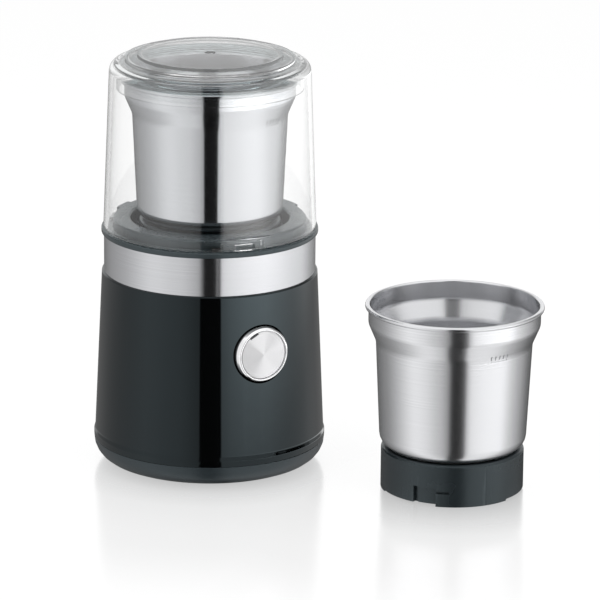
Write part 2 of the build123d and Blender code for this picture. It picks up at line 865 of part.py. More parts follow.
brush_start = commutator_radius + brush_gap
brush_level = lower_bracket_level + bracket_thickness + holder_lift
with BuildPart() as brush_holders:
    holder_middle = brush_start + free_gap + holder_length / 2
    holder_foot = lower_bracket_level + bracket_thickness
    holder_high = brush_level + brush_height + holder_wall
    with BuildSketch(Plane.XY.offset(holder_foot)):
        with Locations((holder_middle, 0), (-holder_middle, 0)):
            Rectangle(holder_length, brush_width + 2 * holder_wall)
    extrude(amount=holder_high - holder_foot)
    with BuildSketch(Plane.XY.offset(brush_level - snug_fit)):
        with Locations((holder_middle, 0), (-holder_middle, 0)):
            Rectangle(holder_length, brush_width + 2 * snug_fit)
    extrude(amount=brush_height + 2 * snug_fit, mode=Mode.SUBTRACT)

with BuildPart() as carbon_brushes:
    brush_middle = brush_start + brush_length / 2
    with BuildSketch(Plane.XY.offset(brush_level)):
        with Locations((brush_middle, 0), (-brush_middle, 0)):
            Rectangle(brush_length, brush_width)
    extrude(amount=brush_height)

with BuildPart() as cord_grommet:
    inlet_radius = shell_radius(inlet_level)
    inlet_axis = Axis((0, 0, inlet_level), (0, 1, 0))
    inlet_section = Plane(origin=(0, 0, inlet_level), x_dir=(1, 0, 0), z_dir=(0, 0, 1))
    barrel_radius = inlet_hole_radius - snug_fit
    flange_seat = shell_radius(inlet_level - inlet_flange_radius) + snug_fit
    revolve(
        section(
            (inlet_bore, inlet_radius - inlet_depth),
            (barrel_radius, inlet_radius - inlet_depth),
            (barrel_radius, flange_seat),
            (inlet_flange_radius, flange_seat),
            (inlet_flange_radius - inlet_chamfer, flange_seat + inlet_flange),
            (inlet_bore, flange_seat + inlet_flange),
            plane=inlet_section,
        ),
        axis=inlet_axis,
    )

# ---------------------------------------------------------------- lid

seal_level = cup_level + bowl_rim_level + free_gap
roof_under_level = dome_shoulder_level - lid_roof
with BuildPart() as lid_seal:
    seal_outer = locator_radius - locator_wall - free_gap
    revolve(
        band(seal_outer - seal_width, seal_outer, seal_level, roof_under_level - free_gap), axis=Axis.Z
    )

with BuildPart() as lid_dome:
    inner_foot = dome_foot_radius - dome_wall
    inner_top = dome_top_radius - dome_wall
    inner_plateau = plateau_radius - lid_roof
    inner_disc = disc_radius - lid_roof
    locator_bore = locator_radius - locator_wall
    revolve(
        section(
            (0, disc_level - lid_roof),
            (inner_disc, disc_level - lid_roof),
            (inner_disc, plateau_level - lid_roof),
            (inner_plateau, plateau_level - lid_roof),
            (inner_plateau, roof_under_level),
            (locator_bore, roof_under_level),
            (locator_bore, locator_foot_level),
            (locator_radius, locator_foot_level),
            (locator_radius, roof_under_level),
            (inner_top, roof_under_level),
            (inner_foot, dome_level),
            (dome_foot_radius, dome_level),
            (dome_top_radius, dome_shoulder_level, dome_shoulder_round, 3),
            (plateau_radius, dome_shoulder_level),
            (plateau_radius, plateau_level),
            (disc_radius, plateau_level),
            (disc_radius, disc_level),
            (0, disc_level),
        ),
        axis=Axis.Z,
    )
    tab_inner_radius = deck_radius + free_gap
    tab_outer_radius = dome_radius(tab_level + tab_height) - dome_wall + snug_fit
    for start in bayonet_starts(lid_rest_angle - tab_arc / 2):
        add_arc(tab_inner_radius, tab_outer_radius, tab_level, tab_level + tab_height, start, tab_arc)

# ---------------------------------------------------------------- cup kit, standing on Z = 0

with BuildPart() as cup_base:
    revolve(
        section(
            (base_radius - base_wall, 0),
            (base_radius, 0),
            (base_radius, base_height, base_round, 2),
            (base_radius - base_wall, base_height),
            (base_radius - base_wall, bowl_level),
            (bush_radius + snug_fit, bowl_level),
            (bush_radius + snug_fit, plate_under_level),
            (base_radius - base_wall, plate_under_level),
        ),
        axis=Axis.Z,
    )
    for start in bayonet_starts(0):
        outside = base_radius + beyond
        inner = base_radius - latch_depth
        latch_foot = latch_level - latch_height / 2
        add_arc(inner, outside, -beyond, entry_height, start, entry_arc, Mode.SUBTRACT)
        add_arc(base_radius - slot_depth, outside, -beyond, entry_height, start, slot_arc, Mode.SUBTRACT)
        latch_end = latch_foot + latch_height
        add_arc(inner, outside, latch_foot, latch_end, start + entry_arc, latch_arc, Mode.SUBTRACT)
        lift_start = start - base_foot_lift_arc
        lift_arc = base_foot_lift_arc + entry_arc
        lift_inner = base_radius - base_wall - beyond
        add_arc(lift_inner, outside, -beyond, base_foot_lift, lift_start, lift_arc, Mode.SUBTRACT)

with BuildPart() as bowl:
    lip_level = bowl_rim_level - bowl_rim_height
    inner_flange = bowl_flange_radius - bowl_sheet
    revolve(
        section(
            (bush_radius + snug_fit, bowl_level),
            (bowl_floor_radius, bowl_level, bowl_corner, 3),
            (bowl_neck_radius, bowl_neck_level),
            (bowl_flange_radius, bowl_flange_level),
            (bowl_flange_radius, lip_level),
            (bowl_rim_radius, lip_level),
            (bowl_rim_radius, bowl_rim_level - bowl_rim_chamfer),
            (bowl_rim_radius - bowl_rim_chamfer, bowl_rim_level),
            (inner_flange, bowl_rim_level),
            (inner_flange, bowl_flange_level),
            (bowl_neck_radius - bowl_sheet, bowl_neck_level),
            (bowl_floor_radius - bowl_sheet, bowl_inner_level, bowl_corner - bowl_sheet, 2),
            (bush_radius + snug_fit, bowl_inner_level),
        ),
        axis=Axis.Z,
    )

with BuildPart() as cup_gasket:
    gasket_top = bowl_inner_level + gasket_thickness
    revolve(band(bush_radius + snug_fit, bush_flange_radius, bowl_inner_level, gasket_top), axis=Axis.Z)

with BuildPart() as cup_bush:
    bush_top = gasket_top + bush_flange_height
    bush_bore = spindle_radius + running_fit
    revolve(
        section(
            (bush_bore, bush_foot_level),
            (bush_radius, bush_foot_level),
            (bush_radius, gasket_top),
            (bush_flange_radius, gasket_top),
            (bush_flange_radius - bush_chamfer, bush_top),
            (bush_bore, bush_top),
        ),
        axis=Axis.Z,
    )

with BuildPart() as cup_nut:
    with BuildSketch(Plane.XY.offset(plate_under_level)):
        RegularPolygon(nut_width / 2, 6, major_radius=False)
        Circle(bush_radius + snug_fit, mode=Mode.SUBTRACT)
    extrude(amount=-nut_height)

with BuildPart() as spindle:
    collar_foot = bush_top + free_gap
    blade_level = collar_foot + spindle_collar_height
    pin_top = blade_level + blade_sheet + blade_nut_height / 2
    revolve(
        section(
            (0, dog_roof_level),
            (spindle_radius, dog_roof_level),
            (spindle_radius, collar_foot),
            (spindle_collar_radius, collar_foot),
            (spindle_collar_radius, blade_level),
            (blade_pin_radius, blade_level),
            (blade_pin_radius, pin_top),
            (0, pin_top),
        ),
        axis=Axis.Z,
    )

with BuildPart() as blade_nut:
    with BuildSketch(Plane.XY.offset(blade_level + blade_sheet)):
        RegularPolygon(blade_nut_width / 2, 6, major_radius=False)
    extrude(amount=blade_nut_height)
    with BuildSketch(Plane.XY.offset(blade_level + blade_sheet)):
        Circle(blade_pin_radius)
    extrude(amount=blade_nut_height / 2, mode=Mode.SUBTRACT)

with BuildPart() as drive_dog:
    with BuildSketch(Plane.XY.offset(dog_foot_level)):
        Circle(dog_radius)
    extrude(amount=dog_top_level - dog_foot_level)
    with BuildSketch(Plane.XY.offset(dog_foot_level)):
        Circle(dog_bore)
        rib_reach = dog_bore - dog_rib_inner + beyond
        half_step = 180 / spline_count
        with PolarLocations(dog_rib_inner + rib_reach / 2, spline_count, start_angle=half_step):
            Rectangle(rib_reach, spline_width, mode=Mode.SUBTRACT)
    extrude(amount=dog_roof_level - dog_foot_level, mode=Mode.SUBTRACT)
    with BuildSketch(Plane.XY.offset(dog_roof_level)):
        Circle(spindle_radius)
    extrude(amount=dog_top_level - dog_roof_level, mode=Mode.SUBTRACT)


def blade(wing_angles, rises):
    """Stamped blade: flat wings from a hub disc, each bent up or down past its root."""
    with BuildPart() as piece:
        with BuildSketch(Plane.XY.offset(blade_level)):
            Circle(blade_hub_radius)
            Circle(blade_pin_radius + running_fit, mode=Mode.SUBTRACT)
        extrude(amount=blade_sheet)
        for angle, rise in zip(wing_angles, rises):
            bend = blade_hub_radius + blade_sheet
            wing_plane = upright_plane(angle).offset(-blade_root_width / 2)
            top = blade_level + blade_sheet
            with BuildSketch(wing_plane):
                with BuildLine():
                    Polyline(
                        (blade_hub_radius - 2 * blade_sheet, blade_level),
                        (bend, blade_level),
                        (blade_length, blade_level + rise),
                        (blade_length, top + rise),
                        (bend, top),
                        (blade_hub_radius - 2 * blade_sheet, top),
                        close=True,
                    )
                make_face()
            extrude(amount=blade_root_width)
            edge_plane = Plane(
                origin=(0, 0, blade_level - blade_rise_height),
                x_dir=(cos(radians(angle)), sin(radians(angle)), 0),
                z_dir=(0, 0, 1),
            )
            with BuildSketch(edge_plane):
                with BuildLine():
                    Polyline(
                        (bend, -blade_root_width / 2 - beyond),
                        (blade_length + beyond, -blade_root_width / 2 - beyond),
                        (blade_length + beyond, blade_root_width / 2 - blade_tip_width),
                        close=True,
                    )
                make_face()
            extrude(amount=3 * blade_rise_height, mode=Mode.SUBTRACT)
    return piece.part


wing_bends = (blade_rise_height, -blade_drop_height)
two_wing_blade = blade((180, 0), wing_bends)
four_wing_blade = blade((0, 90, 180, 270), 2 * wing_bends)

# ---------------------------------------------------------------- placing and writing

entry_middle = entry_arc / 2
cup_place = Location((0, 0, cup_level), (0, 0, socket_lug_angle - entry_middle))
blade_place = Location((0, 0, cup_level))
spare_cup_place = Location((spare_x, spare_y, 0), (0, 0, spare_turn))

cup_kit = {
    "cup_bowl": bowl.part,
    "cup_base": cup_base.part,
    "cup_gasket": cup_gasket.part,
    "cup_bush": cup_bush.part,
    "cup_nut": cup_nut.part,
}
blade_kit = {
    "blade_spindle": spindle.part,
    "blade_nut": blade_nut.part,
    "drive_dog": drive_dog.part,
}

pieces = {
    "foot_ring": foot_ring.part,
    "base_pan": base_pan.part,
    "pan_screws": pan_screws.part,
    "body_shell": body_shell.part,
    "steel_band": steel_band.part,
    "top_housing": top_housing.part,
    "shaft_seal": shaft_seal.part,
    "interlock_pin": interlock_pin.part,
    "interlock_switch": interlock_switch.part,
    "button_rim": button_rim.part,
    "button_face": button_face.part,
    "button_lens": button_lens.part,
    "button_body": button_body.part,
    "button_guide": button_guide.part,
    "button_spring": button_spring.part,
    "start_plunger": start_plunger.part,
    "start_switch": start_switch.part,
    "control_board": control_board.part,
    "stator_core": stator_core.part,
    "field_coils": field_coils.part,
    "motor_shaft": motor_shaft.part,
    "armature_core": armature_core.part,
    "armature_winding": armature_winding.part,
    "commutator": commutator.part,
    "cooling_fan": cooling_fan.part,
    "drive_coupling": drive_coupling.part,
    "lower_bearing": lower_bearing.part,
    "upper_bearing": upper_bearing.part,
    "lower_bracket": lower_bracket.part,
    "upper_bracket": upper_bracket.part,
    "tie_screws": tie_screws.part,
    "motor_grommets": motor_grommets.part,
    "motor_screws": motor_screws.part,
    "brush_holders": brush_holders.part,
    "carbon_brushes": carbon_brushes.part,
    "cord_grommet": cord_grommet.part,
    "lid_seal": lid_seal.part,
    "lid_dome": lid_dome.part,
}
for name, piece in cup_kit.items():
    pieces[name] = piece.moved(cup_place)
    pieces["spare_" + name] = piece.moved(spare_cup_place)
for name, piece in blade_kit.items():
    pieces[name] = piece.moved(blade_place)
    pieces["spare_" + name] = piece.moved(spare_cup_place)
pieces["two_wing_blade"] = two_wing_blade.moved(blade_place)
pieces["four_wing_blade"] = four_wing_blade.moved(spare_cup_place)

os.makedirs("parts", exist_ok=True)
for name, piece in pieces.items():
    piece.label = name
    export_step(piece, f"parts/{name}.step")
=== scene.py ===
"""Looks of an electric spice grinder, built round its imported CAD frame. Lengths are in metres."""

import json
import logging
import math
from abc import ABC, abstractmethod
from dataclasses import dataclass
from enum import Enum
from typing import Iterable, Sequence

import bmesh
import bpy
from mathutils import Matrix, Vector

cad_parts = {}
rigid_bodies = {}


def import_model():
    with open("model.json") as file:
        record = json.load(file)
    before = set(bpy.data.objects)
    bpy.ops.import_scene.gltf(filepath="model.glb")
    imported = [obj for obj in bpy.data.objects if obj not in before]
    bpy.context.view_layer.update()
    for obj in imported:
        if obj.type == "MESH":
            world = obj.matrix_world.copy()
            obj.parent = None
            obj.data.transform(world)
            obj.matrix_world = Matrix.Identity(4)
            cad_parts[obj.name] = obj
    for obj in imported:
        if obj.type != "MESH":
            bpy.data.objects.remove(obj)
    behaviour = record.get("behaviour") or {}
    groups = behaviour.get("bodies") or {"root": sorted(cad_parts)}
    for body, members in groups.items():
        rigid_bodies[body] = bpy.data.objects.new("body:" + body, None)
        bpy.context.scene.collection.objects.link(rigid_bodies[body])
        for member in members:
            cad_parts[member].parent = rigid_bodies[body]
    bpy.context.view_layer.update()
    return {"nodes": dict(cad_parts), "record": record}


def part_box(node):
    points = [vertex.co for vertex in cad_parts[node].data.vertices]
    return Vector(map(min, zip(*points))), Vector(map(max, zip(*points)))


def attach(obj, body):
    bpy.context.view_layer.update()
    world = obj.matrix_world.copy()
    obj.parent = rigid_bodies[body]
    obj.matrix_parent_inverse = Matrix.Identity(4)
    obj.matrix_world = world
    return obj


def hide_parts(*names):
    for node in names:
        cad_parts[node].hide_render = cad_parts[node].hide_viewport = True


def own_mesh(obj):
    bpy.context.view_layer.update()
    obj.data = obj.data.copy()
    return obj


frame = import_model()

LOG = logging.getLogger("spice_grinder")
UP = Vector((0.0, 0.0, 1.0))
Pair = tuple[float, float]
Triple = tuple[float, float, float]
Quad = tuple[float, float, float, float]
Colour = Triple
Socket = bpy.types.NodeSocket
Value = Socket | float | Sequence[float]
Stops = Sequence[Pair]


# ---------------------------------------------------------------- node trees


class Graph:
    """Short ways to add, feed and join the nodes of one tree."""

    def __init__(self, tree: bpy.types.NodeTree) -> None:
        """Empty a tree and work on it."""
        self.tree = tree
        self.tree.nodes.clear()

    def feed(self, target: Socket, value: Value) -> None:
        """Link an output to an input, or set the input to a plain value.

        Args:
            target: The input.
            value: The output, or a number, a vector or a linear colour.
        """
        if isinstance(value, Socket):
            self.tree.links.new(value, target)
        else:
            target.default_value = (*value, 1.0) if target.type == "RGBA" else value

    def add(
        self, kind: str, inputs: dict[str | int, Value] | None = None, **settings: object
    ) -> bpy.types.Node:
        """Add a node, set its properties and feed its inputs.

        Args:
            kind: The node's type name.
            inputs: What each input gets, by the input's name or number.
            **settings: Properties of the node by name.

        Returns:
            The new node.
        """
        node = self.tree.nodes.new(kind)
        for name, value in settings.items():
            setattr(node, name, value)
        for key, value in (inputs or {}).items():
            self.feed(node.inputs[key], value)
        return node

    def take(self, **inputs: float | None) -> bpy.types.NodeOutputs:
        """Give a group its inputs.

        Args:
            **inputs: The default of each number input by name, and None for a vector input.

        Returns:
            The sockets that carry them into the group.
        """
        for name, value in inputs.items():
            kind = "NodeSocketVector" if value is None else "NodeSocketFloat"
            socket = self.tree.interface.new_socket(name=name, in_out="INPUT", socket_type=kind)
            if value is not None:
                socket.default_value = value
        return self.add("NodeGroupInput").outputs

    def give(self, **outputs: Socket) -> None:
        """Give a group its outputs, each a number or a colour as its source is.

        Args:
            **outputs: The source of each output by name.
        """
        for name, source in outputs.items():
            kind = "NodeSocketColor" if source.type == "RGBA" else "NodeSocketFloat"
            self.tree.interface.new_socket(name=name, in_out="OUTPUT", socket_type=kind)
        self.add("NodeGroupOutput", outputs)

    def math(self, operation: str, first: Value, second: Value = 0.0) -> Socket:
        """Do arithmetic on two sockets or numbers."""
        return self.add("ShaderNodeMath", {0: first, 1: second}, operation=operation).outputs[0]

    def product(self, *factors: Value) -> Socket:
        """Multiply sockets and numbers.

        Args:
            *factors: At least one socket or number.

        Returns:
            The product's socket.
        """
        result = factors[0]
        for factor in factors[1:]:
            result = self.math("MULTIPLY", result, factor)
        return result

    def rest(self, value: Value) -> Socket:
        """Take a value from one."""
        return self.math("SUBTRACT", 1.0, value)

    def remap(
        self, value: Socket, low: float = 0.0, high: float = 1.0, start: Value = 0.0, end: float = 1.0,
        soft: bool = False,
    ) -> Socket:
        """Stretch one range of a value over another, and hold it at the ends.

        Args:
            value: The socket to stretch.
            low: What the start becomes.
            high: What the end becomes.
            start: Where the value's range starts.
            end: Where it ends.
            soft: Whether the change eases in and out.

        Returns:
            The stretched value's socket.
        """
        inputs = {"Value": value, "From Min": start, "From Max": end, "To Min": low, "To Max": high}
        easing = "SMOOTHSTEP" if soft else "LINEAR"
        return self.add("ShaderNodeMapRange", inputs, interpolation_type=easing).outputs["Result"]

    def mix(self, share: Value, first: Value, second: Value) -> Socket:
        """Mix two colours by a share, of which 0 gives the first alone."""
        inputs = {"Factor": share, "A": first, "B": second}
        return self.add("ShaderNodeMix", inputs, data_type="RGBA").outputs["Result"]

    def either(self, share: Value, first: bpy.types.Node, second: bpy.types.Node) -> Socket:
        """Mix two shader nodes by a share, of which 0 gives the first alone."""
        inputs = {"Fac": share, 1: first.outputs[0], 2: second.outputs[0]}
        return self.add("ShaderNodeMixShader", inputs).outputs[0]

    def ramp(self, value: Socket, stops: Stops) -> Socket:
        """Follow a line through grey values.

        Args:
            value: Where on the line to read, from 0 to 1.
            stops: The line's points as (place, grey value), in order.

        Returns:
            The grey value's socket.
        """
        node = self.add("ShaderNodeValToRGB", {"Fac": value})
        elements = node.color_ramp.elements
        elements.remove(elements[0])
        for order, (place, grey) in enumerate(stops):
            stop = elements.new(place) if order else elements[0]
            stop.position = place
            stop.color = (grey, grey, grey, 1.0)
        return node.outputs["Color"]

    def noise(self, vector: Socket, scale: Value, detail: float = 2.0) -> Socket:
        """Read a noise pattern with so many cells per metre and finer layers."""
        inputs = {"Vector": vector, "Scale": scale, "Detail": detail}
        return self.add("ShaderNodeTexNoise", inputs).outputs["Fac"]

    def split(self, vector: Socket) -> bpy.types.NodeOutputs:
        """Take a vector apart into X, Y and Z."""
        return self.add("ShaderNodeSeparateXYZ", {0: vector}).outputs

    def scaled(self, vector: Socket, factor: Value) -> Socket:
        """Multiply a vector or a colour by a number."""
        inputs = {0: vector, "Scale": factor}
        return self.add("ShaderNodeVectorMath", inputs, operation="SCALE").outputs["Vector"]

    def along(self, vector: Socket, axis: Sequence[float]) -> Socket:
        """Measure a vector along an axis."""
        inputs = {0: vector, 1: axis}
        return self.add("ShaderNodeVectorMath", inputs, operation="DOT_PRODUCT").outputs["Value"]


class Effect(Enum):
    """Surface effects that several finishes share, each a node group."""

    GRAIN = "moulded_grain"
    TURNING = "turning_lines"
    EDGE = "edge_wear"
    DUST = "fine_dust"


class EffectGroups:
    """Builds each shared effect once and hands out its node group."""

    def __init__(self) -> None:
        """Start with no group built."""
        self.built: dict[Effect, bpy.types.NodeTree] = {}

    def get(self, effect: Effect) -> bpy.types.NodeTree:
        """Give an effect's node group, building it the first time.

        Args:
            effect: The effect that is wanted.

        Returns:
            Its node group.
        """
        if effect not in self.built:
            tree = bpy.data.node_groups.new(effect.value, "ShaderNodeTree")
            makers = {
                Effect.GRAIN: self._grain,
                Effect.TURNING: self._turning,
                Effect.EDGE: self._edge,
                Effect.DUST: self._dust,
            }
            makers[effect](Graph(tree))
            self.built[effect] = tree
        return self.built[effect]

    @staticmethod
    def _grain(graph: Graph) -> None:
        """Fine moulded grain with a broad, soft mottling over it.

        Args:
            graph: The group's tree.
        """
        source = graph.take(Vector=None, Scale=3000.0)
        graph.give(
            Height=graph.noise(source["Vector"], source["Scale"], 3.0),
            Mottle=graph.noise(source["Vector"], 45.0, 3.0),
        )

    @staticmethod
    def _turning(graph: Graph) -> None:
        """Fine lines that run round the Z axis, as a lathe or a brush leaves them.

        Args:
            graph: The group's tree.
        """
        source = graph.take(Vector=None, Pitch=2500.0, Run=4.0)
        across, along, level = graph.split(source["Vector"])
        squares = graph.math("ADD", graph.product(across, across), graph.product(along, along))
        radius = graph.math("SQRT", squares)
        stretched = graph.add("ShaderNodeCombineXYZ", {
            "X": graph.product(across, source["Run"]),
            "Y": graph.product(along, source["Run"]),
            "Z": graph.product(graph.math("ADD", level, radius), source["Pitch"]),
        }).outputs[0]
        graph.give(Height=graph.noise(stretched, 1.0, 3.0), Streak=graph.noise(stretched, 0.22))

    @staticmethod
    def _edge(graph: Graph) -> None:
        """A mask of outer edges, broken up by noise, where handling polishes a surface.

        Args:
            graph: The group's tree.
        """
        source = graph.take(Vector=None, Reach=0.55)
        form = graph.add("ShaderNodeNewGeometry").outputs["Pointiness"]
        sharp = graph.remap(form, start=source["Reach"], end=0.62)
        graph.give(Mask=graph.product(sharp, graph.noise(source["Vector"], 220.0, 3.0)))

    @staticmethod
    def _dust(graph: Graph) -> None:
        """A faint mask of dust that settles on upward faces.

        Args:
            graph: The group's tree.
        """
        source = graph.take(Vector=None, Amount=0.3)
        facing = graph.split(graph.add("ShaderNodeNewGeometry").outputs["Normal"])["Z"]
        speck = graph.math("POWER", graph.noise(source["Vector"], 900.0, 4.0), 3.0)
        graph.give(Mask=graph.product(speck, graph.math("MAXIMUM", facing, 0.0), source["Amount"]))


EFFECTS = EffectGroups()


class Turn(Enum):
    """How a pattern that runs round Z is turned to run round a piece's own axis."""

    ROUND_Z = (0.0, 0.0, 0.0)
    ROUND_Y = (math.pi / 2, 0.0, 0.0)


class Surface(Graph):
    """One material's tree, with its Principled shader and the shared effects."""

    def __init__(
        self, name: str, centre: Sequence[float] = (0.0, 0.0, 0.0), turn: Turn = Turn.ROUND_Z
    ) -> None:
        """Start a material whose patterns read Object coordinates.

        Args:
            name: The material's name.
            centre: A point on the axis that turned patterns run round.
            turn: The direction of that axis.
        """
        self.material = bpy.data.materials.new(name)
        self.material.use_nodes = True
        super().__init__(self.material.node_tree)
        self.shader = self.add("ShaderNodeBsdfPrincipled")
        self.result = self.add("ShaderNodeOutputMaterial", {"Surface": self.shader.outputs[0]})
        place = self.add("ShaderNodeTexCoord").outputs["Object"]
        centring = {"Vector": place, "Location": centre, "Rotation": turn.value}
        self.vector = self.add("ShaderNodeMapping", centring, vector_type="TEXTURE").outputs["Vector"]

    def dress(self, **values: Value) -> None:
        """Feed the shader's inputs, named with underscores for spaces."""
        for name, value in values.items():
            self.feed(self.shader.inputs[name.replace("_", " ")], value)

    def effect(self, effect: Effect, **values: float) -> bpy.types.NodeOutputs:
        """Place a shared effect with this material's own values, given by the names of its inputs."""
        inputs = {"Vector": self.vector, **values}
        return self.add("ShaderNodeGroup", inputs, node_tree=EFFECTS.get(effect)).outputs

    def bump(self, height: Socket, depth: float) -> None:
        """Raise the surface by a height pattern, of which 1 rises so many metres."""
        node = self.add("ShaderNodeBump", {"Height": height, "Distance": depth})
        self.dress(Normal=node.outputs["Normal"])


# ---------------------------------------------------------------- finishes


@dataclass(frozen=True)
class Finish(ABC):
    """A named finish, which knows how to cover a surface."""

    name: str

    def surface(self) -> Surface:
        """Start the finish's material."""
        return Surface(self.name)

    @abstractmethod
    def cover(self, surface: Surface) -> None:
        """Feed the shader of the finish's material."""

    def make(self) -> bpy.types.Material:
        """Build the finish's material.

        Returns:
            The finished material.
        """
        surface = self.surface()
        self.cover(surface)
        return surface.material


@dataclass(frozen=True)
class MouldedPlastic(Finish):
    """Satin or gloss plastic as it comes from the mould."""

    colour: Colour
    edge_colour: Colour
    roughness: float = 0.42
    spread: float = 0.06
    grain: float = 3000.0
    grain_depth: float = 0.000012
    ior: float = 1.5
    sheen: Colour = (1.0, 1.0, 1.0)
    dust: float = 0.5

    def cover(self, surface: Surface) -> None:
        """Cover a surface with grain, worn edges and a little dust.

        Args:
            surface: The material's tree.
        """
        grain = surface.effect(Effect.GRAIN, Scale=self.grain)
        worn = surface.effect(Effect.EDGE)["Mask"]
        dust = surface.effect(Effect.DUST, Amount=self.dust)["Mask"]
        rough = surface.remap(grain["Mottle"], self.roughness - self.spread, self.roughness + self.spread)
        surface.dress(
            Base_Color=surface.mix(worn, self.colour, self.edge_colour),
            Roughness=surface.math("ADD", rough, dust),
            IOR=self.ior,
            Specular_Tint=self.sheen,
        )
        surface.bump(grain["Height"], self.grain_depth)


@dataclass(frozen=True)
class Rubber(Finish):
    """Matt rubber with a soft bloom."""

    colour: Colour
    bloom: Colour
    roughness: float = 0.75
    spread: float = 0.08
    grain: float = 1800.0
    grain_depth: float = 0.00003
    ior: float = 1.52

    def cover(self, surface: Surface) -> None:
        """Cover a surface with grain and bloom.

        Args:
            surface: The material's tree.
        """
        grain = surface.effect(Effect.GRAIN, Scale=self.grain)
        surface.dress(
            Base_Color=surface.mix(grain["Mottle"], self.colour, self.bloom),
            Roughness=surface.remap(
                grain["Height"], self.roughness - self.spread, self.roughness + self.spread
            ),
            IOR=self.ior,
        )
        surface.bump(grain["Height"], self.grain_depth)


@dataclass(frozen=True)
class TurnedMetal(Finish):
    """Metal with fine lines round an axis, from a brush or a lathe."""

    colour: Colour
    dark: Colour
    centre: Triple = (0.0, 0.0, 0.0)
    turn: Turn = Turn.ROUND_Z
    pitch: float = 6000.0
    roughness: float = 0.2
    spread: float = 0.03
    anisotropy: float = 0.75
    depth: float = 0.0000012
    # Painted highlight and shade: grey stops by share of a turn round the axis, which scale the colour; empty
    # for none.
    painted_sheen: Stops = ()

    def surface(self) -> Surface:
        """Start the material with its lines round the piece's axis."""
        return Surface(self.name, self.centre, self.turn)

    def cover(self, surface: Surface) -> None:
        """Cover a surface with turned lines, whose highlights spread across them.

        Args:
            surface: The material's tree.
        """
        lines = surface.effect(Effect.TURNING, Pitch=self.pitch)
        colour = surface.mix(lines["Streak"], self.dark, self.colour)
        rough = surface.remap(lines["Streak"], self.roughness + self.spread, self.roughness - self.spread)
        around = surface.add("ShaderNodeTangent", direction_type="UV_MAP", uv_map=Solid.UV_NAME)
        surface.dress(
            Base_Color=self._with_painted_sheen(surface, colour) if self.painted_sheen else colour,
            Roughness=rough,
            Metallic=1.0,
            Anisotropic=self.anisotropy,
            Anisotropic_Rotation=0.25,
            Tangent=around.outputs[0],
        )
        surface.bump(lines["Height"], self.depth)

    def _with_painted_sheen(self, surface: Surface, colour: Socket) -> Socket:
        """Paint wedges of highlight and shade round a turned face's axis: a painted reflection of the light
        that fine concentric lines catch.

        Args:
            surface: The material's tree.
            colour: The colour so far.

        Returns:
            The colour with its painted wedges of highlight and shade.
        """
        # Painted reflection: the colour is scaled by a grey level read from the angle round the axis.
        across, along, _ = surface.split(surface.vector)
        swing = surface.math("ARCTAN2", along, across)
        share = surface.math("ADD", surface.math("DIVIDE", swing, math.tau), 0.5)
        return surface.scaled(colour, surface.ramp(share, self.painted_sheen))


@dataclass(frozen=True)
class PlainMetal(Finish):
    """Ground, plated or polished metal without a direction."""

    colour: Colour
    dark: Colour
    roughness: float = 0.18
    grain: float = 900.0
    grain_depth: float = 0.000004

    def cover(self, surface: Surface) -> None:
        """Cover a surface with a fine, uneven polish.

        Args:
            surface: The material's tree.
        """
        grain = surface.effect(Effect.GRAIN, Scale=self.grain)
        surface.dress(
            Base_Color=surface.mix(grain["Mottle"], self.dark, self.colour),
            Roughness=surface.remap(grain["Height"], self.roughness * 0.8, self.roughness * 1.3),
            Metallic=1.0,
        )
        surface.bump(grain["Height"], self.grain_depth)


@dataclass(frozen=True)
class ClearPlastic(Finish):
    """Clear hard plastic with a faint mould haze."""

    tint: Colour = (1.0, 1.0, 1.0)
    roughness: float = 0.012
    ior: float = 1.44
    haze: float = 5.0
    haze_colour: Colour = (0.47, 0.55, 0.56)
    passing: Colour = (0.96, 0.965, 0.965)
    grain: float = 400.0
    grain_depth: float = 0.00004
    bounces: float = 2.5

    def cover(self, surface: Surface) -> None:
        """Cover a piece with clear plastic that dims what lies behind it by its thickness.

        Args:
            surface: The material's tree.
        """
        mottle = surface.effect(Effect.GRAIN, Scale=self.grain)["Mottle"]
        surface.dress(
            Base_Color=self.tint,
            Roughness=surface.remap(mottle, self.roughness * 0.5, self.roughness * 1.8),
            IOR=self.ior,
            Transmission_Weight=1.0,
        )
        surface.bump(mottle, self.grain_depth)
        passing = surface.add("ShaderNodeBsdfTransparent", {"Color": self.passing})
        whole = surface.either(self._straight(surface), surface.shader, passing)
        surface.feed(surface.result.inputs["Surface"], whole)
        haze = surface.add("ShaderNodeVolumeAbsorption", {"Color": self.haze_colour, "Density": self.haze})
        surface.feed(surface.result.inputs["Volume"], haze.outputs[0])

    def _straight(self, surface: Surface) -> Socket:
        """Mask the rays that go straight through the plastic without bending.

        They are lamp light, reflections from outside that meet the plastic, and reflections caught in it
        for several bounces.

        Args:
            surface: The material's tree.

        Returns:
            The mask's socket.
        """
        rays = surface.add("ShaderNodeLightPath").outputs
        bounced = surface.math("SUBTRACT", rays["Is Glossy Ray"], rays["Is Transmission Ray"])
        outside = surface.rest(surface.math("MODULO", rays["Transmission Depth"], 2.0))
        caught = surface.math("GREATER_THAN", rays["Glossy Depth"], self.bounces)
        released = surface.product(bounced, surface.math("MAXIMUM", outside, caught))
        return surface.math("MAXIMUM", rays["Is Shadow Ray"], released)


